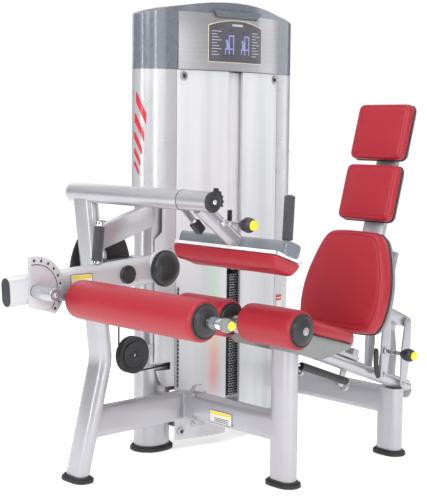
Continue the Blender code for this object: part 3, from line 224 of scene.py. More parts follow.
def make_materials():
    silver = (0.47, 0.468, 0.498)
    return {
        "paint": finish("silver_paint", silver, 0.32, 0.60, 0.35, 0.03, 7.0, 700.0, 0.10, 0.00015, 0.04),
        "light_paint": finish("light_paint", (0.72, 0.72, 0.745), 0.34, 0.35, 0.35, 0.03, 7.0, 700.0, 0.1),
        "lever_paint": finish("lever_paint", (0.56, 0.56, 0.585), 0.36, 0.25, 0.30, 0.03, 7.0, 700.0, 0.1),
        "dark_paint": finish("dark_grey_paint", (0.20, 0.215, 0.235), 0.40, 0.35, 0.3, 0.05, 7.0, 700.0,
                             0.1),
        "slate": finish("slate_plastic", (0.165, 0.182, 0.215), 0.28, 0.20, 0.5, 0.04, 6.0, 500.0, 0.08),
        "plate": finish("brushed_plate", (0.42, 0.42, 0.44), 0.36, 0.75, 0.15, 0.05, 4.0, 60.0, 0.12,
                        0.0001, 0.08, (0.4, 0.4, 26.0)),
        "shell": finish("shell_paint", (0.55, 0.555, 0.58), 0.32, 0.40, 0.30, 0.03, 4.0, 900.0, 0.08),
        "cover": cover_sheet("frosted_cover"),
        "red": leather("red_leather", (0.36, 0.005, 0.018)),
        "thread": finish("red_thread", (0.30, 0.012, 0.025), 0.75, 0.0, 0.0, 0.2, 300.0, 2500.0, 0.5),
        "pad_shell": finish("grey_pad_shell", (0.205, 0.215, 0.210), 0.50, 0.0, 0.05, 0.07, 12.0, 900.0,
                            0.5),
        "black": finish("black_plastic", (0.016, 0.016, 0.018), 0.46, 0.0, 0.10, 0.25, 30.0, 1100.0, 0.3),
        "rubber": finish("black_rubber", (0.022, 0.022, 0.023), 0.62, 0.0, 0.0, 0.3, 40.0, 600.0, 0.6),
        "foam": finish("grip_foam", (0.040, 0.041, 0.047), 0.72, 0.0, 0.0, 0.25, 90.0, 1500.0, 0.8,
                       0.0004, 0.06, None, 0.3),
        "chrome": finish("chrome", (0.80, 0.80, 0.82), 0.11, 1.0, 0.0, 0.03, 20.0, 300.0, 0.03,
                         0.00005, 0.04),
        "steel": finish("zinc_steel", (0.50, 0.50, 0.52), 0.30, 0.95, 0.0, 0.12, 30.0, 500.0, 0.2),
        "iron": finish("black_plates", (0.030, 0.030, 0.033), 0.45, 0.3, 0.1, 0.25, 18.0, 500.0, 0.5),
        "yellow": finish("yellow_plastic", (0.86, 0.66, 0.02), 0.34, 0.0, 0.3, 0.06, 40.0, 900.0, 0.15),
        "white": finish("white_plastic", (0.80, 0.80, 0.81), 0.36, 0.0, 0.2, 0.03, 20.0, 900.0, 0.15),
        "placard": finish("placard_face", (0.100, 0.096, 0.115), 0.32, 0.1, 0.4, 0.12, 10.0, 1000.0, 0.05),
        "cream": finish("cream_border", (0.72, 0.66, 0.42), 0.40, 0.0, 0.2, 0.05, 30.0, 900.0, 0.1),
        "ink": finish("pale_ink", (0.50, 0.49, 0.52), 0.50, 0.0, 0.0, 0.10, 90.0, 900.0, 0.1),
        "blue_ink": finish("blue_ink", (0.28, 0.30, 0.58), 0.45, 0.0, 0.0, 0.10, 90.0, 900.0, 0.1),
        "stripe": finish("red_stripe", (0.62, 0.02, 0.04), 0.30, 0.0, 0.35, 0.05, 20.0, 900.0, 0.1),
        "stack_label": label_marks("stack_label", (0.012, 0.012, 0.013), (0.55, 0.55, 0.56), 0.0125, 0.0091),
        "edge_label": label_marks("edge_label", (0.02, 0.02, 0.02), (0.5, 0.5, 0.5), 0.05, 0.0136),
        "pad_dark": finish("dark_end_cap", (0.022, 0.026, 0.036), 0.55, 0.0, 0.0, 0.12, 30.0, 1100.0, 0.3),
        "dark_lid": finish("bar_paint", (0.25, 0.265, 0.295), 0.38, 0.35, 0.3, 0.05, 7.0, 700.0, 0.1),
        "notice": finish("notice_paper", (0.76, 0.76, 0.72), 0.45, 0.0, 0.1, 0.04, 30.0, 900.0, 0.1),
    }


NODE_LOOKS = {
    "paint": "left_column right_column top_crossbeam bottom_crossbeam left_leg boom_tube leg_brace "
             "left_base_beam front_leg rear_leg seat_rail pivot_housing thigh_arm seat_carriage "
             "back_front_link back_rear_link back_frame",
    "dark_paint": "ankle_arm", "lever_paint": "lever_arm",
    "rubber": "foot_left foot_front foot_rear foot_column_left foot_column_right drive_cable stack_cable",
    "shell": "left_shell right_shell rear_cover", "cover": "left_cover right_cover",
    "slate": "top_cap", "plate": "cap_front_plate",
    "chrome": "guide_rod_left guide_rod_right knee_shaft gas_spring_rod pivot_shaft",
    "iron": "resting_plates lifted_plates cam",
    "black": "selector_pin gas_spring_cylinder lower_pulley idler_pulley top_pulley",
    "pad_shell": "seat_pan",
}


# ---- mesh helpers ----
def face_out(bm):
    """Turns a closed mesh's faces so that they look outwards."""
    bmesh.ops.recalc_face_normals(bm, faces=bm.faces)
    if bm.calc_volume(signed=True) < 0:
        bmesh.ops.reverse_faces(bm, faces=bm.faces)


def add_piece(name, bm, look, body, replaces=(), sharp=38.0):
    """Makes one named object of bm, in its material, riding on a body."""
    face_out(bm)
    limit = radians(sharp)
    for edge in bm.edges:
        edge.smooth = not (len(edge.link_faces) == 2 and edge.calc_face_angle(0) > limit)
    for face in bm.faces:
        face.smooth = True
    mesh = bpy.data.meshes.new(name)
    bm.to_mesh(mesh)
    bm.free()
    obj = bpy.data.objects.new(name, mesh)
    bpy.context.scene.collection.objects.link(obj)
    mesh.materials.append(LOOKS[look])
    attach(obj, body)
    if replaces:
        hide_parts(*replaces)
    return obj


def turned(name, look, body, slot, *shape):
    """A piece that is one turned form; `shape` is what turn() takes."""
    bm = bmesh.new()
    turn(bm, *shape)
    return add_piece(name, bm, look, body)


def slab(name, look, body, slot, *shape):
    """A piece that is one block; `shape` is what block() takes."""
    bm = bmesh.new()
    block(bm, *shape)
    return add_piece(name, bm, look, body)


def ribbon(name, look, body, posts):
    """A piece that is one wall along `posts`."""
    bm = bmesh.new()
    wall(bm, posts)
    return add_piece(name, bm, look, body)


def aim(direction):
    return Vector(direction).to_track_quat("Z", "Y").to_matrix().to_4x4()


def bridge(bm, rings, closed_ends=(True, True), loop=False):
    """Skins a list of vertex rings of equal length; loop joins the last ring to the first."""
    pairs = list(zip(rings, rings[1:])) + ([(rings[-1], rings[0])] if loop else [])
    for one, two in pairs:
        count = len(one)
        for step in range(count):
            after = (step + 1) % count
            bm.faces.new((one[step], one[after], two[after], two[step]))
    for ring, closed in zip((rings[0], rings[-1]), closed_ends):
        if closed and not loop:
            bm.faces.new(ring)


def turn(bm, base, direction, profile, steps=40, ring=False, wave=None):
    """Revolves (radius, height) points round a line; wave(angle, index) alters the radius."""
    place = Matrix.Translation(Vector(base)) @ aim(direction)
    rings, tips = [], []
    for index, (radius, height) in enumerate(profile):
        if radius < 1e-6:
            tips.append((len(rings), bm.verts.new(place @ Vector((0, 0, height)))))
            continue
        points = []
        for step in range(steps):
            angle = 2 * pi * step / steps
            reach = radius + (wave(angle, index) if wave else 0.0)
            points.append(bm.verts.new(place @ Vector((reach * cos(angle), reach * sin(angle), height))))
        rings.append(points)
    bridge(bm, rings, (False, False), ring)
    for at, tip in tips:
        edge = rings[0] if at == 0 else rings[-1]
        for step in range(steps):
            bm.faces.new((edge[step], edge[(step + 1) % steps], tip))
    if not ring and not tips:
        bm.faces.new(rings[0])
        bm.faces.new(rings[-1])
    elif not ring and len(tips) == 1:
        bm.faces.new(rings[-1] if tips[0][0] == 0 else rings[0])
    return bm


def block(bm, place, outline, low, high, edge=0.0):
    """A slab of an outline of (u, v) points between two heights, with eased edges."""
    middle = sum((Vector(point) for point in outline), Vector((0, 0))) / len(outline)
    span = max((Vector(point) - middle).length for point in outline)
    levels = [(0.0, low), (0.0, high)]
    if edge:
        levels = [(edge, low), (0.0, low + edge), (0.0, high - edge), (edge, high)]
    rings = []
    for inset, height in levels:
        scale = 1 - inset / span * 1.3
        rings.append([bm.verts.new(place @ Vector((*(middle + (Vector(point) - middle) * scale), height)))
                      for point in outline])
    bridge(bm, rings)
    return bm


def rounded(half_u, half_v, radius, steps=6):
    """Rectangle outline with round corners."""
    points = []
    for quarter, (side_u, side_v) in enumerate(((1, 1), (-1, 1), (-1, -1), (1, -1))):
        for step in range(steps + 1):
            angle = (quarter + step / steps) * pi / 2
            points.append(Vector((side_u * (half_u - radius) + radius * cos(angle),
                                  side_v * (half_v - radius) + radius * sin(angle))))
    return points


def oval(half_u, half_v):
    """Flat-oval outline: its long side is the larger half."""
    points = rounded(half_u, half_v, min(half_u, half_v), 10)
    return [point for index, point in enumerate(points) if (point - points[index - 1]).length > 1e-6]


def along_outline(outline, count, smooth=2):
    """count points evenly spaced round a closed outline, its corners eased."""
    points = [Vector(point) for point in outline]
    for _ in range(smooth):
        cut = []
        for one, two in zip(points, points[1:] + points[:1]):
            cut += [one * 0.75 + two * 0.25, one * 0.25 + two * 0.75]
        points = cut
    lengths = [0.0]
    for one, two in zip(points, points[1:] + points[:1]):
        lengths.append(lengths[-1] + (two - one).length)
    spaced, index = [], 0
    for step in range(count):
        goal = lengths[-1] * step / count
        while lengths[index + 1] < goal:
            index += 1
        part = (goal - lengths[index]) / max(lengths[index + 1] - lengths[index], 1e-9)
        spaced.append(points[index].lerp(points[(index + 1) % len(points)], part))
    return spaced


def inwards(outline):
    """Unit vectors pointing into a closed anticlockwise or clockwise outline."""
    count = len(outline)
    area = sum(outline[i].x * outline[(i + 1) % count].y - outline[(i + 1) % count].x * outline[i].y
               for i in range(count))
    sign = 1 if area > 0 else -1
    result = []
    for index in range(count):
        along = outline[(index + 1) % count] - outline[index - 1]
        result.append(Vector((-along.y, along.x)).normalized() * sign)
    return result


def plane(origin, u, v, w):
    """Matrix whose local x, y, z run along u, v, w."""
    return Matrix(((u.x, v.x, w.x, origin.x), (u.y, v.y, w.y, origin.y), (u.z, v.z, w.z, origin.z),
                   (0, 0, 0, 1)))


# ---- cushions ----
def padded_form(outline, profile, crown, rings_in):
    """Rings of (point, height) from a pad's rear edge over its side to the middle of its face.

    profile holds (inset, height) pairs; crown is how far the face swells above its last height."""
    directions = inwards(outline)
    middle = sum(outline, Vector((0, 0))) / len(outline)
    rings = []
    for inset, height in profile:
        rings.append([(point + way * inset, height) for point, way in zip(outline, directions)])
    last = [point for point, _ in rings[-1]]
    top = profile[-1][1]
    reach_x = max(abs(point.x - middle.x) for point in last)
    reach_y = max(abs(point.y - middle.y) for point in last)
    for step in range(1, rings_in):
        share = step / rings_in
        ring = []
        for point in last:
            spot = point.lerp(middle, share)
            along_x, along_y = abs((spot.x - middle.x) / reach_x), abs((spot.y - middle.y) / reach_y)
            bulge = (1 - along_x ** 2.4) * (1 - along_y ** 2.4)
            ring.append((spot, top + crown * bulge * min(1.0, share * 4)))
        rings.append(ring)
    return rings, (middle, top + crown)


def ripple(point, size, seed):
    """Small smooth unevenness of stuffed leather."""
    return noise.noise(Vector((point.x * size + seed, point.y * size, point.z * size)))


def swell(obj, held, cap, steps=18, pressure=4.0):
    """Cloth puffs an evenly meshed copy between its held seams; the pad takes its movement."""
    scene = bpy.context.scene
    copy = bpy.data.objects.new("puff", obj.data.copy())
    scene.collection.objects.link(copy)
    even = copy.modifiers.new("even", "REMESH")
    even.mode = "VOXEL"
    even.voxel_size = 0.0055
    mesh = bpy.data.meshes.new_from_object(copy.evaluated_get(bpy.context.evaluated_depsgraph_get()))
    copy.modifiers.clear()
    copy.data = mesh
    seams = KDTree(len(held))
    for slot, index in enumerate(held):
        seams.insert(obj.data.vertices[index].co, slot)
    seams.balance()
    group = copy.vertex_groups.new(name="held")
    group.add([vertex.index for vertex in mesh.vertices if seams.find(vertex.co)[2] < 0.006], 1.0, "REPLACE")
    cloth = copy.modifiers.new("cloth", "CLOTH")
    settings = cloth.settings
    settings.quality = 6
    settings.mass = 0.25
    settings.tension_stiffness = settings.compression_stiffness = 15
    settings.shear_stiffness = 8
    settings.bending_stiffness = 1.5
    settings.use_pressure = True
    settings.uniform_pressure_force = pressure
    settings.vertex_group_mass = "held"
    settings.effector_weights.gravity = 0
    cloth.point_cache.frame_start, cloth.point_cache.frame_end = 1, steps
    for number in range(1, steps + 1):
        scene.frame_set(number)
    puffed = copy.evaluated_get(bpy.context.evaluated_depsgraph_get()).data.vertices
    moves = [end.co - start.co for start, end in zip(mesh.vertices, puffed)]
    near = KDTree(len(moves))
    for index, vertex in enumerate(mesh.vertices):
        near.insert(vertex.co, index)
    near.balance()
    for vertex in obj.data.vertices:
        found = near.find_n(vertex.co, 14)
        move = sum((moves[index] for _, index, _ in found), Vector()) / len(found)
        move *= min(1.0, seams.find(vertex.co)[2] / 0.016)
        if move.length > cap:
            move *= cap / move.length
        vertex.co += move
    bpy.data.objects.remove(copy)
    scene.frame_set(1)


def pad(name, place, outline, profile, crown, body, node, cap, seed, count=96):
    """A crowned leather pad with sewn seams, and the thread along its seam ring."""
    points = along_outline(outline, count)
    rings, (middle, tip_height) = padded_form(points, profile, crown, 10)
    bm = bmesh.new()
    made = []
    for ring in rings:
        made.append([bm.verts.new(place @ Vector((*point, height))) for point, height in ring])
    tip = bm.verts.new(place @ Vector((*middle, tip_height)))
    bridge(bm, made, (True, False))
    for step in range(count):
        bm.faces.new((made[-1][step], made[-1][(step + 1) % count], tip))
    bm.verts.index_update()
    held = [vertex.index for ring in (made[0], made[1], made[SEAM_RING]) for vertex in ring]
    normal = (place.to_3x3() @ Z).normalized()
    for ring in made[len(profile):]:
        for vertex in ring:
            vertex.co += normal * 0.0007 * ripple(vertex.co, 28.0, seed)
    face_out(bm)
    obj = add_piece(name, bm, "red", body, (node,), 70.0)
    swell(obj, held, cap)
    detail = obj.modifiers.new("detail", "SUBSURF")
    detail.levels = detail.render_levels = 1
    stitch(name + "_stitches", place, rings[SEAM_RING], body)


def stitch(name, place, ring, body, pitch=0.0075, length=0.0048, thick=0.00055, proud=0.0004):
    """Thread laid along a seam: short round stitches, closed at both ends."""
    points = [place @ Vector((*point, height + proud)) for point, height in ring]
    points.append(points[0])
    bm = bmesh.new()
    travelled, goal = 0.0, 0.0
    up = (place.to_3x3() @ Z).normalized()
    for one, two in zip(points, points[1:]):
        run = (two - one).length
        way = (two - one).normalized()
        side = way.cross(up)
        while goal < travelled + run:
            start = one + way * (goal - travelled)
            rings = []
            for share, size in ((0.0, 0.35), (0.2, 1.0), (0.8, 1.0), (1.0, 0.35)):
                middle = start + way * length * share
                rings.append([bm.verts.new(middle + (side * cos(a) + up * sin(a)) * thick * size)
                              for a in (pi * k / 3 for k in range(6))])
            bridge(bm, rings)
            goal += pitch
        travelled += run
    add_piece(name, bm, "thread", body)


SEAM_RING = 7    # the groove, counted along a pad's side profile
PAD_SIDE = [(0.0045, 0.0), (0.0012, 0.0045), (0.0, 0.011), (0.0, 0.018), (0.0016, 0.0245),
            (0.0055, 0.0292), (0.0098, 0.0306), (0.0118, 0.0282), (0.0138, 0.0304), (0.021, 0.0320)]


def back_place(side, height, behind):
    up = Vector((sin(BACK_TILT), 0, cos(BACK_TILT)))
    rear = Vector((cos(BACK_TILT), 0, -sin(BACK_TILT)))
    return BACK_POINT + up * height + rear * behind + Vector((0, side, 0))


def back_plane(height, behind):
    """Local x across, y up the back, z out of its face."""
    up = Vector((sin(BACK_TILT), 0, cos(BACK_TILT)))
    out = Vector((-cos(BACK_TILT), 0, sin(BACK_TILT)))
    return plane(back_place(0, height, behind), up.cross(out), up, out)


BACK_EDGE = [(0.078, 0.168), (0.108, 0.156), (0.130, 0.125), (0.152, 0.065), (0.167, 0.010),
             (0.172, -0.045), (0.168, -0.100), (0.155, -0.138), (0.130, -0.160)]


def pad_shell(name, place, outline, depth, body, lip=0.0015, count=96):
    """Moulded tray behind a pad: rounded rim towards the pad, narrower and softer at the rear."""
    points = along_outline(outline, count)
    levels = [(0.003, 0.0), (lip, 0.0015), (lip, 0.006), (0.004, depth * 0.55), (0.010, depth * 0.86),
              (0.018, depth)]
    rings, _ = padded_form(points, [(inset, -height) for inset, height in levels], 0.0, 2)
    bm = bmesh.new()
    made = [[bm.verts.new(place @ Vector((*point, height))) for point, height in ring]
            for ring in rings[:len(levels)]]
    bridge(bm, made)
    return add_piece(name, bm, "pad_shell", body, (), 45.0)


def back_pads():
    outline = [(-u, v) for u, v in BACK_EDGE[::-1]] + BACK_EDGE
    place = back_plane(-0.300, 0.016)
    side = [(0.004, 0.0), (0.001, 0.005), (0.0, 0.013), (0.001, 0.024), (0.0045, 0.034), (0.0105, 0.0405),
            (0.0168, 0.0432), (0.0194, 0.0404), (0.0220, 0.0432), (0.034, 0.0452)]
    pad("back_pad", place, outline, side, 0.0055, "backrest", "back_cushion", 0.004, 3.0, 132)
    piping("back_piping", back_plane(-0.300, 0.0165), outline, "backrest")
    pad_shell("back_pad_shell", back_plane(-0.300, 0.0175), outline, 0.0325, "backrest")
    box_pad = rounded(0.107, 0.092, 0.020)
    for name, node, height in (("mid_pad", "mid_cushion", 0.0), ("head_pad", "head_cushion", 0.203)):
        pad(name, back_plane(height, 0.034), box_pad, PAD_SIDE, 0.0035, "backrest", node, 0.0035,
            height * 9)
        piping(name + "_piping", back_plane(height, 0.0345), box_pad, "backrest")
        pad_shell(name + "_shell", back_plane(height, 0.0355), box_pad, 0.0150, "backrest")


def piping(name, place, outline, body, radius=0.0016, count=120):
    """Black cord round the joint between a pad and its shell."""
    points = [place @ Vector((*point, 0.0)) for point in along_outline(outline, count)]
    hoop(name, points, radius, "black", body)


def hoop(name, points, radius, look, body, closed=True, sides=8):
    """Round section swept along points; an open one gets closed ends."""
    bm = bmesh.new()
    count = len(points)
    rings = []
    for index, point in enumerate(points):
        before = points[index - 1] if closed or index else point
        after = points[(index + 1) % count] if closed or index < count - 1 else point
        way = (after - before).normalized()
        side = way.cross(Z if abs(way.z) < 0.9 else X).normalized()
        up = side.cross(way)
        rings.append([bm.verts.new(point + (side * cos(a) + up * sin(a)) * radius)
                      for a in (2 * pi * k / sides for k in range(sides))])
    bridge(bm, rings, (True, True), closed)
    return add_piece(name, bm, look, body)


def seat_pad():
    place = Matrix.Translation(SEAT_CORNER) @ Matrix.Rotation(SEAT_TILT, 4, "Y")
    outline = [(0.0, -0.150), (0.03, -0.184), (0.12, -0.179), (0.250, -0.161), (0.300, -0.120), (0.302, 0.0),
               (0.300, 0.120), (0.250, 0.161), (0.12, 0.179), (0.03, 0.184), (0.0, 0.150)]
    side = [(0.004, 0.0), (0.001, 0.004), (0.0, 0.012), (0.0005, 0.022), (0.004, 0.033), (0.010, 0.0395),
            (0.0164, 0.0420), (0.019, 0.0394), (0.0216, 0.0420), (0.032, 0.0440)]
    pad("seat_pad", place, outline, side, 0.0045, "seat", "seat_cushion", 0.004, 5.0, 132)
    piping("seat_piping", place, outline, "seat")


def thigh_plane(distance):
    """Local x across the bar, y along it, z away from the bar towards the cushion."""
    rear = Vector((cos(THIGH_TILT), 0, -sin(THIGH_TILT)))
    down = Vector((-sin(THIGH_TILT), 0, -cos(THIGH_TILT)))
    middle = Vector((BAR_X, -0.0225, BAR_Z)) + down * distance
    return plane(middle, rear, down.cross(rear), down)


def thigh_pads():
    outline = rounded(0.054, 0.2145, 0.012)
    side = [(0.0030, 0.0), (0.0005, 0.003), (0.0, 0.009), (0.003, 0.018), (0.009, 0.028), (0.0155, 0.036),
            (0.0200, 0.0392), (0.0215, 0.0382), (0.0230, 0.0394), (0.029, 0.0408)]
    pad("thigh_pad", thigh_plane(0.0275), outline, side, 0.0030, "thigh_hold", "thigh_cushion", 0.003,
        7.0, 120)
    slab("thigh_board_trim", "white", "thigh_hold", "thigh_arm", thigh_plane(0.0225),
         rounded(0.0550, 0.2140, 0.010), -0.0045, 0.0046, 0.0012)
    bar_place = thigh_plane(0.0)
    turned_oval = rounded(0.0318, 0.0198, 0.0125)
    middle = Vector((BAR_X, 0, BAR_Z))
    section = plane(middle, bar_place.to_3x3() @ X, bar_place.to_3x3() @ Z, Y)
    slab("thigh_bar_cover", "dark_lid", "thigh_hold", "thigh_arm", section, turned_oval, BAR_Y0 + 0.004,
         BAR_Y1 - 0.004, 0.0)
    for name, low, high in (("near", BAR_Y0 - 0.006, BAR_Y0 + 0.0042),
                            ("far", BAR_Y1 - 0.0042, BAR_Y1 + 0.006)):
        slab("thigh_bar_cap_" + name, "slate", "thigh_hold", "thigh_knob", section,
             rounded(0.0325, 0.0205, 0.013), low, high, 0.003)


# ---- rollers ----
def roller(name, node, x, z, near, far, body, domes):
    """Red roller with gathered ends, and moulded discs over both of them."""
    half = (far - near) / 2
    middle = (near + far) / 2
    ease = [(0.0405, half - 0.0030), (0.0450, half - 0.0008), (0.0495, half), (0.0532, half - 0.0020),
            (0.0553, half - 0.0060), (0.0563, half - 0.0115), (0.0569, half - 0.020)]
    crown = [(0.0572, half * 0.55), (0.0573, 0.0)]
    outer = ease + crown + [(r, -h) for r, h in crown[:1] + ease[::-1]]
    profile = [(SHAFT + 0.0008, half - 0.006)] + outer + [(SHAFT + 0.0008, 0.006 - half)]
    gathered = {1: 0.0005, 2: 0.0018, 3: 0.0026, 4: 0.0016, 5: 0.0006}
    last = len(profile) - 1

    def wave(angle, index):
        depth = gathered.get(min(index, last - index), 0.0)
        return depth * (sin(angle * 38) - 0.35)

    bm = bmesh.new()
    turn(bm, (x, middle, z), Y, profile, 152, True, wave)
    obj = add_piece(name, bm, "red", body, (node,), 75.0)
    points = [Vector((x + ROLLER * 0.30, middle - half + 0.018 + (2 * half - 0.036) * step / 8,
                      z - ROLLER * 0.958)) for step in range(9)]
    hoop(name + "_seam", points, 0.0009, "thread", body, False)
    for end, sign, height, hole in domes:
        y = near if end == "near" else far
        direction = Y * sign
        rim = [(0.0465, -0.0022), (0.0485, 0.0002), (0.0475, 0.0026), (0.0440, 0.0032), (0.0425, 0.0024)]
        if height > 0.004:
            dome = [(0.0420, 0.0034)] + [(0.0420 * cos(a), 0.0034 + (height - 0.0034) * sin(a))
                                         for a in (radians(k) for k in (14, 28, 42, 55, 66, 76))]
        else:
            dome = [(0.041, 0.0026), (0.030, 0.0020)]
        dome = [point for point in dome if point[0] > hole + 0.001]
        bm = bmesh.new()
        if hole:
            shape = rim + dome + [(hole, dome[-1][1]), (hole, -0.0022)]
            turn(bm, (x, y, z), direction, shape, 56, True)
        else:
            turn(bm, (x, y, z), direction, rim + dome + [(0, height)], 56)
        add_piece(f"{name}_cap_{end}", bm, "black", body)


def rollers():
    hole = SHAFT + 0.0006
    roller("ankle_roller_pad", "ankle_pad", ANKLE_X, ANKLE_Z, ANKLE_NEAR, ANKLE_FAR, "ankle_roller",
           (("near", -1, 0.017, hole), ("far", 1, 0.002, hole)))
    roller("knee_roller_near", "knee_pad_near", 0, KNEE_Z, -KNEE_OUT, -KNEE_IN, "near_roller",
           (("near", -1, 0.016, 0), ("far", 1, 0.010, hole)))
    roller("knee_roller_far", "knee_pad_far", 0, KNEE_Z, KNEE_IN, KNEE_OUT, "far_roller",
           (("near", -1, 0.010, hole), ("far", 1, 0.016, 0)))
    for side, sign in (("near", -1), ("far", 1)):
        screw(f"knee_bolt_{side}", (0, sign * (KNEE_OUT + 0.0155), KNEE_Z), Y * sign, 0.0085, 0.005,
              side + "_roller", "steel")


# ---- fixings ----
def screw(name, base, direction, radius, height, body, look="steel"):
    """Button head on a washer, with a hexagon socket."""
    sides, inner = 24, radius * 0.42
    washer = [(radius * 1.35, -0.0006), (radius * 1.35, 0.0008), (radius * 1.30, 0.0012), (radius, 0.0012)]
    head = [(radius, height * 0.45), (radius * 0.93, height * 0.78), (radius * 0.70, height),
            (inner * 1.12, height)]
    socket = [(inner, height * 0.92), (inner, height * 0.45), (0, height * 0.40)]
    turned(name, look, body, "pivot_shaft", base, direction, washer + head + socket, sides)


def fixings():
    link_y = 0.0365
    for label, (x, z), body in (("front", LINK_FRONT, "front_links"), ("rear", LINK_REAR, "rear_links")):
        for place, (dx, dz) in (("low", (0, 0)), ("high", LINK_LEAN)):
            for side, sign in (("near", -1), ("far", 1)):
                screw(f"{label}_link_bolt_{place}_{side}", (x + dx, sign * link_y, z + dz), Y * sign, 0.0072,
                      0.0060, body, "steel")
    for index, (dx, dz) in enumerate(((-0.024, -0.055), (0.024, -0.055), (0.028, 0.038), (-0.020, 0.038))):
        screw(f"flange_bolt_{index}", (FRONT_X + dx, 0.3902, BEAM_Z + dz), -Y, 0.0062, 0.0060, "frame")
        screw(f"flange_nut_{index}", (FRONT_X + dx, 0.4093, BEAM_Z + dz), Y, 0.0062, 0.0060, "frame")
    for index, (x, z) in enumerate(((0.239, 1.268), (0.670, 1.268), (0.237, 0.060), (0.673, 0.060))):
        y = front_y(x)
        profile = [(0.0145, -0.0005), (0.0145, 0.0035), (0.0135, 0.0050), (0.0085, 0.0056), (0.0078, 0.0030),
                   (0.0060, 0.0030), (0.0050, 0.0044), (0.0, 0.0046)]
        turned(f"cover_stud_{index}", "steel", "frame", "guide_rod_left", (x, y, z), -Y, profile, 32)
        screw(f"cover_screw_{index}", (x, y - 0.0040, z), -Y, 0.0042, 0.0028, "frame", "iron")


def front_y(x):
    """The bowed front of the tower."""
    radius = (FRONT_HALF ** 2 + FRONT_SAG ** 2) / (2 * FRONT_SAG)
    return FRONT_Y + radius - sqrt(radius ** 2 - (x - TOWER_X) ** 2)


def wall(bm, posts):
    """Upright strip; each post is (plan point, way its far side lies, low, high)."""
    rings = []
    for point, out, low, high in posts:
        far = point + out
        rings.append([bm.verts.new((point.x, point.y, low)), bm.verts.new((point.x, point.y, high)),
                      bm.verts.new((far.x, far.y, high)), bm.verts.new((far.x, far.y, low))])
    bridge(bm, rings)


def bowed(name, outline, off, thick, look):
    """Thin panel that follows the tower's bowed front: outline is (x, z) points, off is in front of it."""
    bm = bmesh.new()
    points = [Vector(point) for point in outline]
    low = min(point.y for point in points)
    high = max(point.y for point in points)
    xs = sorted({round(point.x, 5) for point in points})
    upper, lower = [], []
    for x in xs:
        zs = []
        for one, two in zip(points, points[1:] + points[:1]):
            if min(one.x, two.x) - 2e-5 <= x <= max(one.x, two.x) + 2e-5 and abs(one.x - two.x) > 1e-4:
                zs.append(one.y + (two.y - one.y) * (x - one.x) / (two.x - one.x))
        zs = zs or [low, high]
        lower.append(min(zs))
        upper.append(max(zs))
    wall(bm, [(Vector((x, front_y(x) - off)), -Y.xy * thick, z0, z1) for x, z0, z1 in zip(xs, lower, upper)])
    add_piece(name, bm, look, "frame")


def arched(x0, x1, z0, z1, rise, inset=0.0, steps=14):
    """Outline with an arched top."""
    x0, x1, z0, z1 = x0 + inset, x1 - inset, z0 + inset, z1 - inset
    points = [(x0, z0)] + [(x0 + (x1 - x0) * k / steps, z0) for k in range(1, steps)] + [(x1, z0)]
    for k in range(steps + 1):
        share = k / steps
        points.append((x1 + (x0 - x1) * share, z1 - rise + rise * (1 - (2 * share - 1) ** 2)))
    return points


def placard():
    """Instruction plate with a pale rim, blank bars for its words and two line figures."""
    x0, x1, z0, z1 = 0.326, 0.579, 1.317, 1.461
    bowed("placard_rim", arched(x0, x1, z0, z1, 0.020), 0.0060, 0.0010, "cream")
    bowed("placard_face", arched(x0, x1, z0, z1, 0.020, 0.0024), 0.0068, 0.0008, "placard")
    bm = bmesh.new()
    for side in (0, 1):
        for row in range(9):
            long = 0.040 - 0.009 * ((row * 5 + side) % 3)
            left = x0 + 0.014 if side == 0 else x1 - 0.054
            z = 1.420 - row * 0.0098
            strip(bm, left, left + long, z, z + 0.0024)
    strip(bm, 0.428, 0.478, 1.4405, 1.4475)
    add_piece("placard_bars", bm, "ink", "frame")
    bm = bmesh.new()
    for x in (0.412, 0.486):
        for dx0, dx1, dz0, dz1 in ((0, 0.005, 0, 0.062), (0.020, 0.025, 0, 0.062), (0, 0.025, 0.060, 0.065),
                                   (-0.016, 0.018, 0.016, 0.021), (-0.016, -0.012, 0, 0.018),
                                   (-0.010, 0.000, 0.021, 0.040), (-0.013, -0.003, 0.040, 0.049)):
            strip(bm, x + dx0, x + dx1, 1.345 + dz0, 1.345 + dz1)
    add_piece("placard_figures", bm, "blue_ink", "frame")


def strip(bm, x0, x1, z0, z1, off=0.0075, thick=0.0004):
    """One raised printed bar on the placard."""
    xs = [x0 + (x1 - x0) * k / 3 for k in range(4)]
    wall(bm, [(Vector((x, front_y(x) - off)), -Y.xy * thick, z0, z1) for x in xs])


def shell_curve(inset, samples=60):
    """Plan points of the left shell from the front edge round the side."""
    x0 = TOWER_X - FRONT_HALF - 0.001
    y0 = front_y(TOWER_X + FRONT_HALF)
    reach, middle = TOWER_HALF - inset - FRONT_HALF - 0.001, COLUMN_Y + 0.010
    points = []
    for k in range(samples + 1):
        angle = radians(-90 + 90 * k / samples)
        points.append(Vector((x0 - reach * cos(angle) ** 0.8,
                              middle + (middle - y0 - inset) * -(abs(sin(angle)) ** 0.8))))
    return points


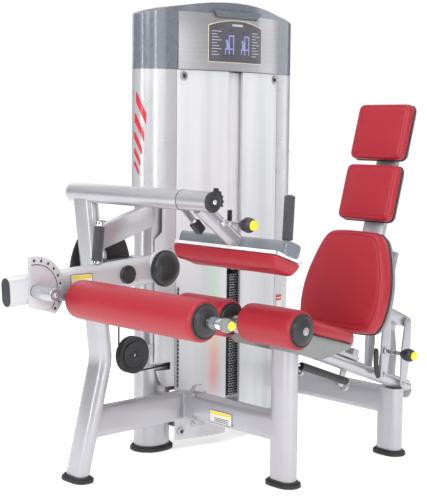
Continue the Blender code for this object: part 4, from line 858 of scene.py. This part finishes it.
def tower_details():
    """Side stripes, slot linings and the edge strip of the tower."""
    curve = shell_curve(-0.0008, 90)
    stripes = ((60, 86, 1.105, 0.036), (66, 89, 1.050, 0.030), (71, 90, 1.005, 0.024),
               (75, 90, 0.968, 0.018), (78, 90, 0.938, 0.013))
    for number, (first, last, z0, tall) in enumerate(stripes):
        posts = []
        for k in range(first, last + 1):
            z = z0 + 0.0028 * (k - first)
            out = (curve[k] - Vector((0.30, 0.62))).normalized() * 0.0008
            posts.append((curve[k], out, z, z + tall))
        ribbon(f"side_stripe_{number}", "stripe", "frame", posts)
    for name, x0, x1, low, high in (("left", 0.4235, 0.4410, SLOT_LOW, PIN_TOP),
                                    ("right", 0.4690, 0.5200, SLOT_LOW, PIN_TOP),
                                    ("upper", 0.4235, 0.5200, PIN_TOP, COVER_TOP)):
        section = [(x0, 0.5205), (x1, 0.5205), (x1, 0.5225), (x0, 0.5225)]
        slab("slot_lining_" + name, "white", "frame", "left_cover", Matrix(), section, low, high)
    for name, x in (("slot_return_left", 0.4205), ("slot_return_right", 0.4895)):
        section = [(x - 0.0010, 0.4985), (x + 0.0010, 0.4985), (x + 0.0010, 0.5060), (x - 0.0010, 0.5060)]
        slab(name, "shell", "frame", "left_cover", Matrix(), section, COVER_LOW, COVER_TOP)
    slab("edge_strip", "edge_label", "frame", "left_cover", Matrix(),
         [(0.2165, 0.5215), (0.2225, 0.5200), (0.2225, 0.5215), (0.2165, 0.5230)], 0.215, 0.560)


def shell_sticker():
    """Small red blank with a pale one under it, on the right shell."""
    curve = [Vector((2 * TOWER_X - point.x, point.y)) for point in shell_curve(-0.0006, 60)]
    for name, look, low, high, off in (("shell_sticker_red", "stripe", 0.470, 0.490, 0.0),
                                       ("shell_sticker_line", "white", 0.477, 0.480, 0.0006),
                                       ("shell_sticker_pale", "notice", 0.438, 0.468, 0.0)):
        ribbon(name, look, "frame", [(point - Y.xy * off, -Y.xy * 0.0007, low,
                                                     high) for point in curve[2:11]])


def plate_labels():
    """Number plates on the front edges of the weight plates, with marks that say nothing."""
    for name, body, first, last in (("plate_labels_resting", "frame", 0, PLATES - LIFTED),
                                    ("plate_labels_lifted", "moving_stack", PLATES - LIFTED, PLATES)):
        bm = bmesh.new()
        for number in range(first, last):
            z = STACK_BOTTOM + number * PLATE_PITCH
            place = plane(Vector((TOWER_X + 0.0400, STACK_FRONT - 0.0002, z + PLATE_PITCH / 2)), X, Z, -Y)
            block(bm, place, rounded(0.0270, 0.0122, 0.002), 0.0, 0.0012, 0.0003)
        add_piece(name, bm, "stack_label", body)


def notices():
    """Blank notices on the front beam and the lever."""
    for name, place, size, body in (
            ("beam_notice", plane(Vector((FRONT_X - 0.0277, 0.252, BEAM_Z - 0.012)), -Y, Z, -X),
             (0.052, 0.021), "frame"),
            ("lever_notice", plane(Vector((-0.322, LEVER_NEAR - 0.0002, PIVOT_Z - 0.014)), X, Z, -Y),
             (0.040, 0.021), "lever")):
        slot = "front_leg" if body == "frame" else "lever_arm"
        slab(name + "_rim", "black", body, slot, place, rounded(*size, 0.003), 0.0, 0.0007, 0.0002)
        slab(name, "notice", body, slot, place, rounded(size[0] - 0.002, size[1] - 0.002, 0.002), 0.0006,
             0.0011, 0.0002)
        band = [point + Vector((0, size[1] - 0.009)) for point in rounded(size[0] - 0.004, 0.005, 0.001)]
        slab(name + "_band", "yellow", body, slot, place, band, 0.0010, 0.0015, 0.0001)
        bm = bmesh.new()
        for row in range(3):
            bar = [point + Vector((0.004, -0.003 - row * 0.0055)) for point in rounded(size[0] * 0.62,
                                                                                       0.0011, 0.0004)]
            block(bm, place, bar, 0.0010, 0.0014)
        add_piece(name + "_bars", bm, "iron", body)


# ---- lever ----
def dome(name, place, radius, height, body):
    """Moulded cover facing -Y."""
    rim = [(radius * 0.97, 0.0), (radius, 0.0015), (radius, 0.0060), (radius * 0.965, 0.0075),
           (radius * 0.945, 0.0066)]
    swell_out = [(radius * 0.94 * cos(a), 0.0070 + (height - 0.0070) * sin(a))
                 for a in (radians(k) for k in (8, 18, 28, 38, 48, 58, 68, 78))]
    turned(name, "black", body, "thigh_knob", place, -Y, rim + swell_out + [(0, height)], 64)


def lever_details():
    near = LEVER_NEAR - 0.0003
    dome("pivot_dome", (0, near, PIVOT_Z), 0.0575, 0.034, "lever")
    outline = [(-0.062, 0.020), (-0.050, 0.052), (-0.014, 0.060), (0.012, 0.040), (0.0, -0.030),
               (-0.040, -0.030)]
    place = plane(Vector((0, near + 0.0022, PIVOT_Z)), X, Z, -Y)
    slab("pivot_plate", "white", "lever", "lever_arm", place, along_outline(outline, 40), 0.0, 0.0024,
         0.0006)
    x = -0.150
    z = PIVOT_Z + x * sin(LEVER_RISE) / cos(LEVER_RISE)
    profile = [(0.0275, 0.0), (0.0285, 0.002), (0.0285, 0.008), (0.0265, 0.0105), (0.0225, 0.0112),
               (0.0215, 0.0098), (0.0150, 0.0098), (0.0140, 0.0112), (0.0, 0.0116)]
    turned("lever_button", "black", "lever", "thigh_knob", (x, near, z), -Y, profile, 48)
    way = Vector((-cos(LEVER_RISE), 0, -sin(LEVER_RISE)))
    centre = Vector((LEVER_END, LEVER_Y, PIVOT_Z + LEVER_END * sin(LEVER_RISE) / cos(LEVER_RISE)))
    place = plane(centre, way.cross(Y), Y, way)
    slab("lever_end_cap", "pad_dark", "lever", "thigh_knob", place, oval(0.0405, 0.0190), -0.001, 0.0032,
         0.0012)
    sector_details(near)
    grip("lever_handle", "lever_grip", Vector((-0.250, LEVER_Y,
                                               0.0)) + Z * (PIVOT_Z - 0.250 * 0.0524 + 0.0443),
         Vector((0.11, 0, 1)).normalized(), 0.0165, 0.128, "lever", True)
    lower = Vector((-0.205, 0.390, 0.693))
    turned("lever_plunger", "steel", "lever", "pivot_shaft", lower, (0.1, 0.25, 1),
           [(0.0, 0.0), (0.010, 0.001), (0.0125, 0.004), (0.0125, 0.024), (0.0085, 0.027),
            (0.0085, 0.040), (0.0, 0.0415)], 28)


def sector_details(near):
    """The sector's painted shade, a dark line along the edge of its raised band and black discs in its
    holes, and the ankle hub in its middle.
    """
    front = near - 0.0048
    points = []
    # painted shade: a black cord standing in for the shadowed step at the edge of the sector's raised outer
    # band
    for k in range(31):
        angle = radians(-44 + 145 * k / 30)
        points.append(Vector((HUB_X + 0.0765 * cos(angle), front, HUB_Z + 0.0765 * sin(angle))))
    hoop("sector_line", points, 0.0011, "iron", "lever", False)
    # painted shade: black discs set in the sector's holes to darken them
    bm = bmesh.new()
    for step in range(9):
        angle = radians(93 - 16.5 * step)
        x, z = HUB_X + 0.088 * cos(angle), HUB_Z + 0.088 * sin(angle)
        turn(bm, (x, front + 0.0035, z), -Y, [(0.0046, 0), (0.0046, 0.001), (0.0, 0.001)], 16)
    add_piece("sector_hole_inserts", bm, "iron", "lever")
    turned("ankle_hub_sleeve", "paint", "ankle", "lever_arm", (HUB_X, 0.3300, HUB_Z), -Y,
           [(0.0192, 0.0), (0.0202, 0.002), (0.0202, 0.062), (0.0188, 0.066), (0.0188, 0.0905),
            (0.0165, 0.093), (0.0, 0.093)], 40)
    screw("ankle_hub_bolt", (HUB_X, 0.2368, HUB_Z), -Y, 0.0085, 0.005, "ankle", "steel")


def grip(name, node, base, up, radius, tall, body, chrome_top):
    """Ribbed foam hand grip between bright collars."""
    bm = bmesh.new()
    profile = [(radius * 0.80, 0.0065), (radius * 0.97, 0.0075), (radius, 0.0105)]
    ribs = 26
    top = tall - (0.016 if chrome_top else 0.004)
    for k in range(ribs + 1):
        h = 0.0125 + (top - 0.0155) * k / ribs
        profile.append((radius * (1.0 if k % 2 else 0.972), h))
    profile += [(radius * 0.97, top - 0.0012), (radius * 0.80, top)]
    if not chrome_top:
        profile += [(radius * 0.45, top + 0.0028), (0.0, top + 0.0034)]
    else:
        profile += [(0.0, top)]
    turn(bm, base, up, [(0.0, 0.0065)] + profile, 36)
    add_piece(name, bm, "foam", body, (node,))
    collars = [("_base", [(0.0, 0.0), (radius * 0.72, 0.0), (radius * 0.72, 0.0060), (0.0, 0.0064)])]
    if chrome_top:
        collars.append(("_top", [(0.0, top + 0.0002), (radius * 0.70, top + 0.0002),
                                 (radius * 0.74, top + 0.003), (radius * 0.74, top + 0.012),
                                 (radius * 0.60, top + 0.0148), (0.0, top + 0.0152)]))
    for suffix, shape in collars:
        turned(name + suffix, "chrome", body, node, base, up, shape, 32)


# ---- pull knobs ----
def pull_knob(name, node, base, body):
    """Plunger housing, steel stem, black knob and yellow end button, facing -Y."""
    stem = [(0.0, 0.0), (0.0112, 0.0), (0.0112, 0.009), (0.0095, 0.0115), (0.0066, 0.0125), (0.0066, 0.030),
            (0.0082, 0.031), (0.0082, 0.035), (0.0066, 0.036), (0.0066, 0.0705), (0.0, 0.0706)]
    turned(name + "_stem", "steel", body, "pivot_shaft", base, -Y, stem, 32)
    bm = bmesh.new()
    shape = [(0.0, 0.068), (0.0080, 0.0685), (0.0118, 0.074), (0.0150, 0.080), (0.0188, 0.088),
             (0.0208, 0.096), (0.0208, 0.104), (0.0196, 0.111), (0.0160, 0.116), (0.0145, 0.1185),
             (0.0, 0.1186)]
    flutes = {4, 5, 6, 7}
    turn(bm, base, -Y, shape, 48, False,
         lambda angle, index: 0.0007 * cos(angle * 8) if index in flutes else 0.0)
    add_piece(name, bm, "black", body, (node,))
    turned(name + "_button", "yellow", body, node, base, -Y,
           [(0.0, 0.1182), (0.0136, 0.1184), (0.0142, 0.1205), (0.0136, 0.1245), (0.0115, 0.1268),
            (0.0, 0.128)], 36)


def knobs():
    pull_knob("thigh_pull", "thigh_knob", Vector((-0.135, -0.0653, 0.832)), "thigh_release")
    pull_knob("back_pull", "back_knob", Vector((0.633, -0.0363, 0.372)), "back_release")
    base = Vector((ANKLE_X, ANKLE_NEAR - 0.0483, ANKLE_Z))
    turned("ankle_pull_nut", "chrome", "ankle_release", "pivot_shaft", base, -Y,
           [(0.0, 0.0), (0.0125, 0.0), (0.0140, 0.0015), (0.0140, 0.0075), (0.0118, 0.0095),
            (0.0118, 0.0150), (0.0135, 0.0160), (0.0135, 0.0200), (0.0, 0.0201)], 36)
    bm = bmesh.new()
    shape = [(0.0, 0.0198), (0.0135, 0.0199), (0.0172, 0.0235), (0.0185, 0.030), (0.0185, 0.040),
             (0.0168, 0.0460), (0.0130, 0.0485), (0.0, 0.0486)]
    turn(bm, base, -Y, shape, 48, False,
         lambda angle, index: 0.0016 * cos(angle * 3) if 1 < index < 6 else 0.0)
    add_piece("ankle_pull", bm, "pad_shell", "ankle_release", ("ankle_knob",))
    turned("ankle_pull_button", "yellow", "ankle_release", "ankle_knob", base, -Y,
           [(0.0, 0.0482), (0.0112, 0.0483), (0.0118, 0.0500), (0.0112, 0.0535), (0.0094, 0.0560),
            (0.0, 0.0572)], 36)
    collar = [(0.0132, 0.0), (0.0158, 0.0008), (0.0158, 0.0085), (0.0132, 0.0094)]
    turned("ankle_shaft_collar", "chrome", "ankle", "pivot_shaft",
           (ANKLE_X, ANKLE_NEAR - 0.0200, ANKLE_Z), -Y, collar, 36, True)


# ---- boom and thigh arm ----
def boom_details():
    profile = [(0.0, -0.002), (0.0205, -0.002), (0.0290, 0.0002), (0.0292, 0.0040), (0.0275, 0.0072),
               (0.0210, 0.0092), (0.0190, 0.0080), (0.0110, 0.0080), (0.0095, 0.0096), (0.0, 0.0102)]
    turned("boom_cap", "black", "frame", "thigh_knob", (BOOM_X, -0.1092, BOOM_Z), -Y, profile, 48)
    screw("boom_cap_screw", (BOOM_X, -0.1190, BOOM_Z), -Y, 0.0052, 0.0035, "frame", "chrome")
    turned("boom_seam_ring", "black", "frame", "thigh_knob", (BOOM_X, 0.0102, BOOM_Z), Y,
           [(0.0215, 0.0), (0.0292, 0.0), (0.0292, 0.0013), (0.0215, 0.0013)], 56, True)
    bm = bmesh.new()
    outline = []
    for k in range(9):
        angle = radians(-40 + 80 * k / 8)
        reach = 0.0385 if k % 2 else 0.0435
        outline.append((reach * cos(angle), reach * sin(angle)))
    for k in range(5):
        angle = radians(36 - 72 * k / 4)
        outline.append((0.0297 * cos(angle), 0.0297 * sin(angle)))
    tilt = plane(Vector((BOOM_X, -0.0920, BOOM_Z)), (X * cos(0.35) + Z * sin(0.35)),
                 (Z * cos(0.35) - X * sin(0.35)), -Y)
    block(bm, tilt, outline, 0.0, 0.018)
    add_piece("boom_ratchet", bm, "black", "thigh_hold")
    start, end = Vector((-0.205, 0, 0.872)), Vector((-0.140, 0, 0.806))
    way = (end - start).normalized()
    side = way.cross(Y)
    slab("thigh_lock_bar", "steel", "thigh_hold", "thigh_arm",
         plane((start + end) / 2 + Y * 0.0235, way, side, Y), rounded(0.046, 0.0095, 0.004), -0.003,
         0.003, 0.0008)
    slab("thigh_lock_block", "black", "thigh_hold", "thigh_knob",
         plane(end - way * 0.014 + Y * 0.0235, way, side, Y), rounded(0.020, 0.0135, 0.004), -0.0115,
         0.0115, 0.002)
    screw("thigh_lock_bolt", end - way * 0.036 + Y * 0.0200, -Y, 0.0052, 0.0050, "thigh_hold", "chrome")
    grip("thigh_handle", "thigh_grip", Vector((BAR_X, -0.212, BAR_Z)) + Vector((sin(THIGH_TILT), 0,
                                                                                cos(THIGH_TILT))) * 0.0193,
         Vector((0.06, 0, 1)).normalized(), 0.0155, 0.134, "thigh_hold", False)
    screw("boom_far_screw", (BOOM_X, 0.5272, BOOM_Z), Y, 0.0060, 0.0040, "frame", "steel")


# ---- seat and back fittings ----
def rail_place(distance, side, height):
    along = Vector((cos(RAIL_TILT), 0, -sin(RAIL_TILT)))
    above = Vector((sin(RAIL_TILT), 0, cos(RAIL_TILT)))
    return RAIL_POINT + along * distance + Vector((0, side, 0)) + above * height


def seat_details():
    along = Vector((cos(RAIL_TILT), 0, -sin(RAIL_TILT)))
    end = RAIL_POINT + along * ((0.800 - RAIL_POINT.x) / along.x)
    turned("rail_end_cap", "light_paint", "frame", "seat_rail", end, along,
           [(0.0, -0.001), (0.0215, 0.0003), (0.0219, 0.0030), (0.0205, 0.0075), (0.0150, 0.0098),
            (0.0, 0.0104)], 40)
    front = rail_place(-0.187, 0, -0.053)
    rear = rail_place(0.074, 0, -0.053)
    way = (rear - front).normalized()
    turned("gas_spring_gland", "steel", "seat", "gas_spring_rod", rail_place(-0.155, 0, -0.053), way,
           [(0.0046, -0.0070), (0.0100, -0.0060), (0.0118, -0.0030), (0.0118, -0.0003),
            (0.0046, -0.0003)], 28, True)
    turned("gas_spring_band", "steel", "seat", "gas_spring_rod", rear - way * 0.010, way,
           [(0.0127, -0.003), (0.0136, -0.0015), (0.0136, 0.0060), (0.0127, 0.0075)], 28, True)
    lean = atan2(LINK_LEAN[0], LINK_LEAN[1])
    up = Vector((sin(lean), 0, cos(lean)))
    across = Vector((cos(lean), 0, -sin(lean)))
    foot = Vector((LINK_FRONT[0], 0, LINK_FRONT[1]))
    outline = [(-0.066, 0.088), (-0.050, 0.090), (-0.043, 0.070), (-0.042, 0.030), (-0.026, 0.004),
               (-0.030, -0.012), (-0.045, -0.008), (-0.060, 0.030)]
    slab("link_guard", "black", "front_links", "thigh_knob",
         plane(foot - Y * 0.0368, across, up, across.cross(up)), along_outline(outline, 40, 1), 0.0, 0.006)


def foot_boots():
    """Rubber boot round the bottom of each leg, standing on its foot."""
    legs = (("left", -0.2520, 0.458, 0.0275, 0.0505), ("front", FRONT_X, 0.0, 0.0315, 0.0515),
            ("rear", REAR_X, 0.014, 0.0315, 0.0515),
            ("column_left", TOWER_X - COLUMN_SIDE, COLUMN_Y, 0.0690, 0.0540),
            ("column_right", TOWER_X + COLUMN_SIDE, COLUMN_Y, 0.0690, 0.0540))
    for name, x, y, half_x, half_y in legs:
        bm = bmesh.new()
        rings = []
        for out, z in ((0.0030, 0.0122), (0.0030, 0.0135), (0.0014, 0.0155), (0.0, 0.0182),
                       (-0.0018, 0.0186), (-0.0022, 0.0122)):
            rings.append([bm.verts.new((x + p.x, y + p.y, z)) for p in oval(half_x + out, half_y + out)])
        bridge(bm, rings, (False, False), True)
        add_piece("foot_boot_" + name, bm, "rubber", "frame")


def cap_details():
    """Face of the cap's grip notch, and the hubs of the two lower pulleys."""
    place = plane(Vector((TOWER_X, 0.4885, 1.4790)), X, Z, -Y)
    outline = [(-0.112, 0.012), (-0.094, -0.0105), (0.094, -0.0105), (0.112, 0.012)]
    slab("cap_notch_face", "slate", "frame", "top_cap", place, outline, 0.0, 0.0015)
    hub = (("lower_pulley_hub", (0.030, 0.533, 0.351), "pulley_low", 0.012, 0.046),
           ("idler_pulley_hub", (0.2552, 0.5485, 0.331), "pulley_idler", 0.009, 0.026))
    for name, place, body, half, size in hub:
        turned(name, "black", body, "lower_pulley", (place[0], place[1] - half - 0.0003, place[2]), -Y,
               [(0.0072, 0.0), (size, 0.0), (size, 0.0030), (size - 0.003, 0.0048),
                (size - 0.006, 0.0040), (0.016, 0.0052), (0.0072, 0.0056)], 48, True)


# ---- floor, light and camera ----
def stage():
    bm = bmesh.new()
    rings = []
    for x in (-14.0, 14.0):
        rings.append([bm.verts.new((x, -14, 0.0)), bm.verts.new((x, 14, 0.0)), bm.verts.new((x, 14, -0.05)),
                      bm.verts.new((x, -14, -0.05))])
    bridge(bm, rings)
    face_out(bm)
    mesh = bpy.data.meshes.new("floor")
    bm.to_mesh(mesh)
    bm.free()
    floor = bpy.data.objects.new("floor", mesh)
    floor.location.z = -0.0005
    bpy.context.scene.collection.objects.link(floor)
    nodes = Nodes("floor_paint")
    nodes.link(nodes.ramp(nodes.noise(1.2), [(0.3, (0.87, 0.87, 0.87)), (0.7, (0.89, 0.89, 0.89))]),
               "Base Color")
    nodes.put(Roughness=0.9, Specular_IOR_Level=0.1, Emission_Color=(1, 1, 1, 1), Emission_Strength=0.44)
    mesh.materials.append(nodes.material)


def soft_light(name, place, target, size, power):
    light = bpy.data.lights.new(name, "AREA")
    light.shape = "RECTANGLE"
    light.size, light.size_y = size
    light.energy = power
    obj = bpy.data.objects.new(name, light)
    obj.location = place
    obj.rotation_euler = (Vector(target) - Vector(place)).to_track_quat("-Z", "Y").to_euler()
    bpy.context.scene.collection.objects.link(obj)


def lights():
    target = (0.15, 0.2, 0.7)
    soft_light("key", (-3.2, -1.4, 2.9), target, (1.8, 2.2), 84)
    soft_light("front", (0.6, -3.8, 1.6), target, (2.0, 1.6), 16)
    soft_light("top", (0.2, 0.3, 3.8), target, (2.2, 2.2), 32)
    soft_light("right", (3.6, -0.6, 1.8), target, (1.2, 2.4), 16)
    soft_light("strip_front", (-1.15, -3.5, 1.35), (0.2, 0.3, 0.9), (0.35, 2.5), 34)
    soft_light("strip_left", (-3.7, 0.9, 1.3), (0.1, 0.3, 0.8), (0.35, 2.5), 26)
    soft_light("rear", (0.9, 3.8, 2.4), target, (2.6, 2.0), 16)
    world = bpy.data.worlds.new("studio")
    world.use_nodes = True
    bpy.context.scene.world = world
    tree = world.node_tree
    back = tree.nodes["Background"]
    place = tree.nodes.new("ShaderNodeTexCoord")
    split = tree.nodes.new("ShaderNodeSeparateXYZ")
    ramp = tree.nodes.new("ShaderNodeValToRGB")
    stops = [(0.30, 0.50), (0.50, 0.16), (0.60, 0.40), (0.78, 1.0), (1.0, 1.0)]
    while len(ramp.color_ramp.elements) < len(stops):
        ramp.color_ramp.elements.new(0.5)
    for element, (position, value) in zip(ramp.color_ramp.elements, stops):
        element.position = position
        element.color = (value, value, value * 1.02, 1)
    height = tree.nodes.new("ShaderNodeMapRange")
    height.inputs["From Min"].default_value = -1.0
    tree.links.new(place.outputs["Generated"], split.inputs[0])
    tree.links.new(split.outputs["Z"], height.inputs["Value"])
    tree.links.new(height.outputs["Result"], ramp.inputs["Fac"])
    tree.links.new(ramp.outputs["Color"], back.inputs["Color"])
    back.inputs["Strength"].default_value = 0.72
    seen = tree.nodes.new("ShaderNodeBackground")
    seen.inputs["Color"].default_value = (1, 1, 1, 1)
    seen.inputs["Strength"].default_value = 1.0
    path = tree.nodes.new("ShaderNodeLightPath")
    mix = tree.nodes.new("ShaderNodeMixShader")
    tree.links.new(path.outputs["Is Camera Ray"], mix.inputs[0])
    tree.links.new(back.outputs[0], mix.inputs[1])
    tree.links.new(seen.outputs[0], mix.inputs[2])
    tree.links.new(mix.outputs[0], tree.nodes["World Output"].inputs["Surface"])
    bpy.context.scene.view_settings.view_transform = "Standard"


def camera():
    turn_right, pitch, roll = radians(43.25), radians(5.78), radians(0.55)
    ahead = Vector((sin(turn_right) * cos(pitch), cos(turn_right) * cos(pitch), -sin(pitch)))
    right = Vector((cos(turn_right), -sin(turn_right), 0))
    up = right.cross(ahead)
    right, up = right * cos(roll) + up * sin(roll), up * cos(roll) - right * sin(roll)
    data = bpy.data.cameras.new("view")
    data.sensor_width = 36
    data.lens = 86.2
    obj = bpy.data.objects.new("view", data)
    bpy.context.scene.collection.objects.link(obj)
    obj.matrix_world = plane(Vector((-2.4357, -2.4731, 1.0940)), right, up, -ahead)
    bpy.context.scene.camera = obj


def skin_nodes():
    """Each hard part of the frame, welded and smoothly shaded, with its real finish."""
    for look, names in NODE_LOOKS.items():
        for name in names.split():
            source = frame["nodes"][name]
            for slot in source.material_slots:
                slot.material = LOOKS[look]
            bm = bmesh.new()
            bm.from_mesh(source.data)
            bmesh.ops.remove_doubles(bm, verts=bm.verts, dist=0.00002)
            ease = EASED.get(name, 0.0)
            if ease:
                bmesh.ops.dissolve_limit(bm, angle_limit=radians(0.6), verts=bm.verts, edges=bm.edges)
                edges = [edge for edge in bm.edges if len(edge.link_faces) == 2
                         and edge.calc_face_angle(0) > radians(50)]
                bmesh.ops.bevel(bm, geom=edges, offset=ease, segments=2, profile=0.6, affect="EDGES",
                                clamp_overlap=True)
            bmesh.ops.triangulate(bm, faces=[face for face in bm.faces if len(face.verts) > 4])
            skin = add_piece(name + "_skin", bm, look, body_names[name], (name,), 32.0)
            if name == "stack_cable":
                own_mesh(skin)


EASED = {"cap_front_plate": 0.0008, "left_cover": 0.0006, "right_cover": 0.0006, "foot_left": 0.002,
         "foot_front": 0.002, "foot_rear": 0.002, "foot_column_left": 0.002, "foot_column_right": 0.002,
         "left_leg": 0.001, "boom_tube": 0.001, "lever_arm": 0.001, "rear_cover": 0.0006,
         "back_front_link": 0.001, "back_rear_link": 0.001, "back_frame": 0.001, "seat_pan": 0.002,
         "lifted_plates": 0.0007, "resting_plates": 0.0007, "cam": 0.001, "leg_brace": 0.001}
body_names = {node: obj.parent.name.split(":")[-1] for node, obj in frame["nodes"].items()}


camera()
LOOKS = make_materials()
skin_nodes()
back_pads()
seat_pad()
thigh_pads()
rollers()
fixings()
placard()
tower_details()
shell_sticker()
plate_labels()
notices()
lever_details()
knobs()
boom_details()
seat_details()
foot_boots()
cap_details()
stage()
lights()
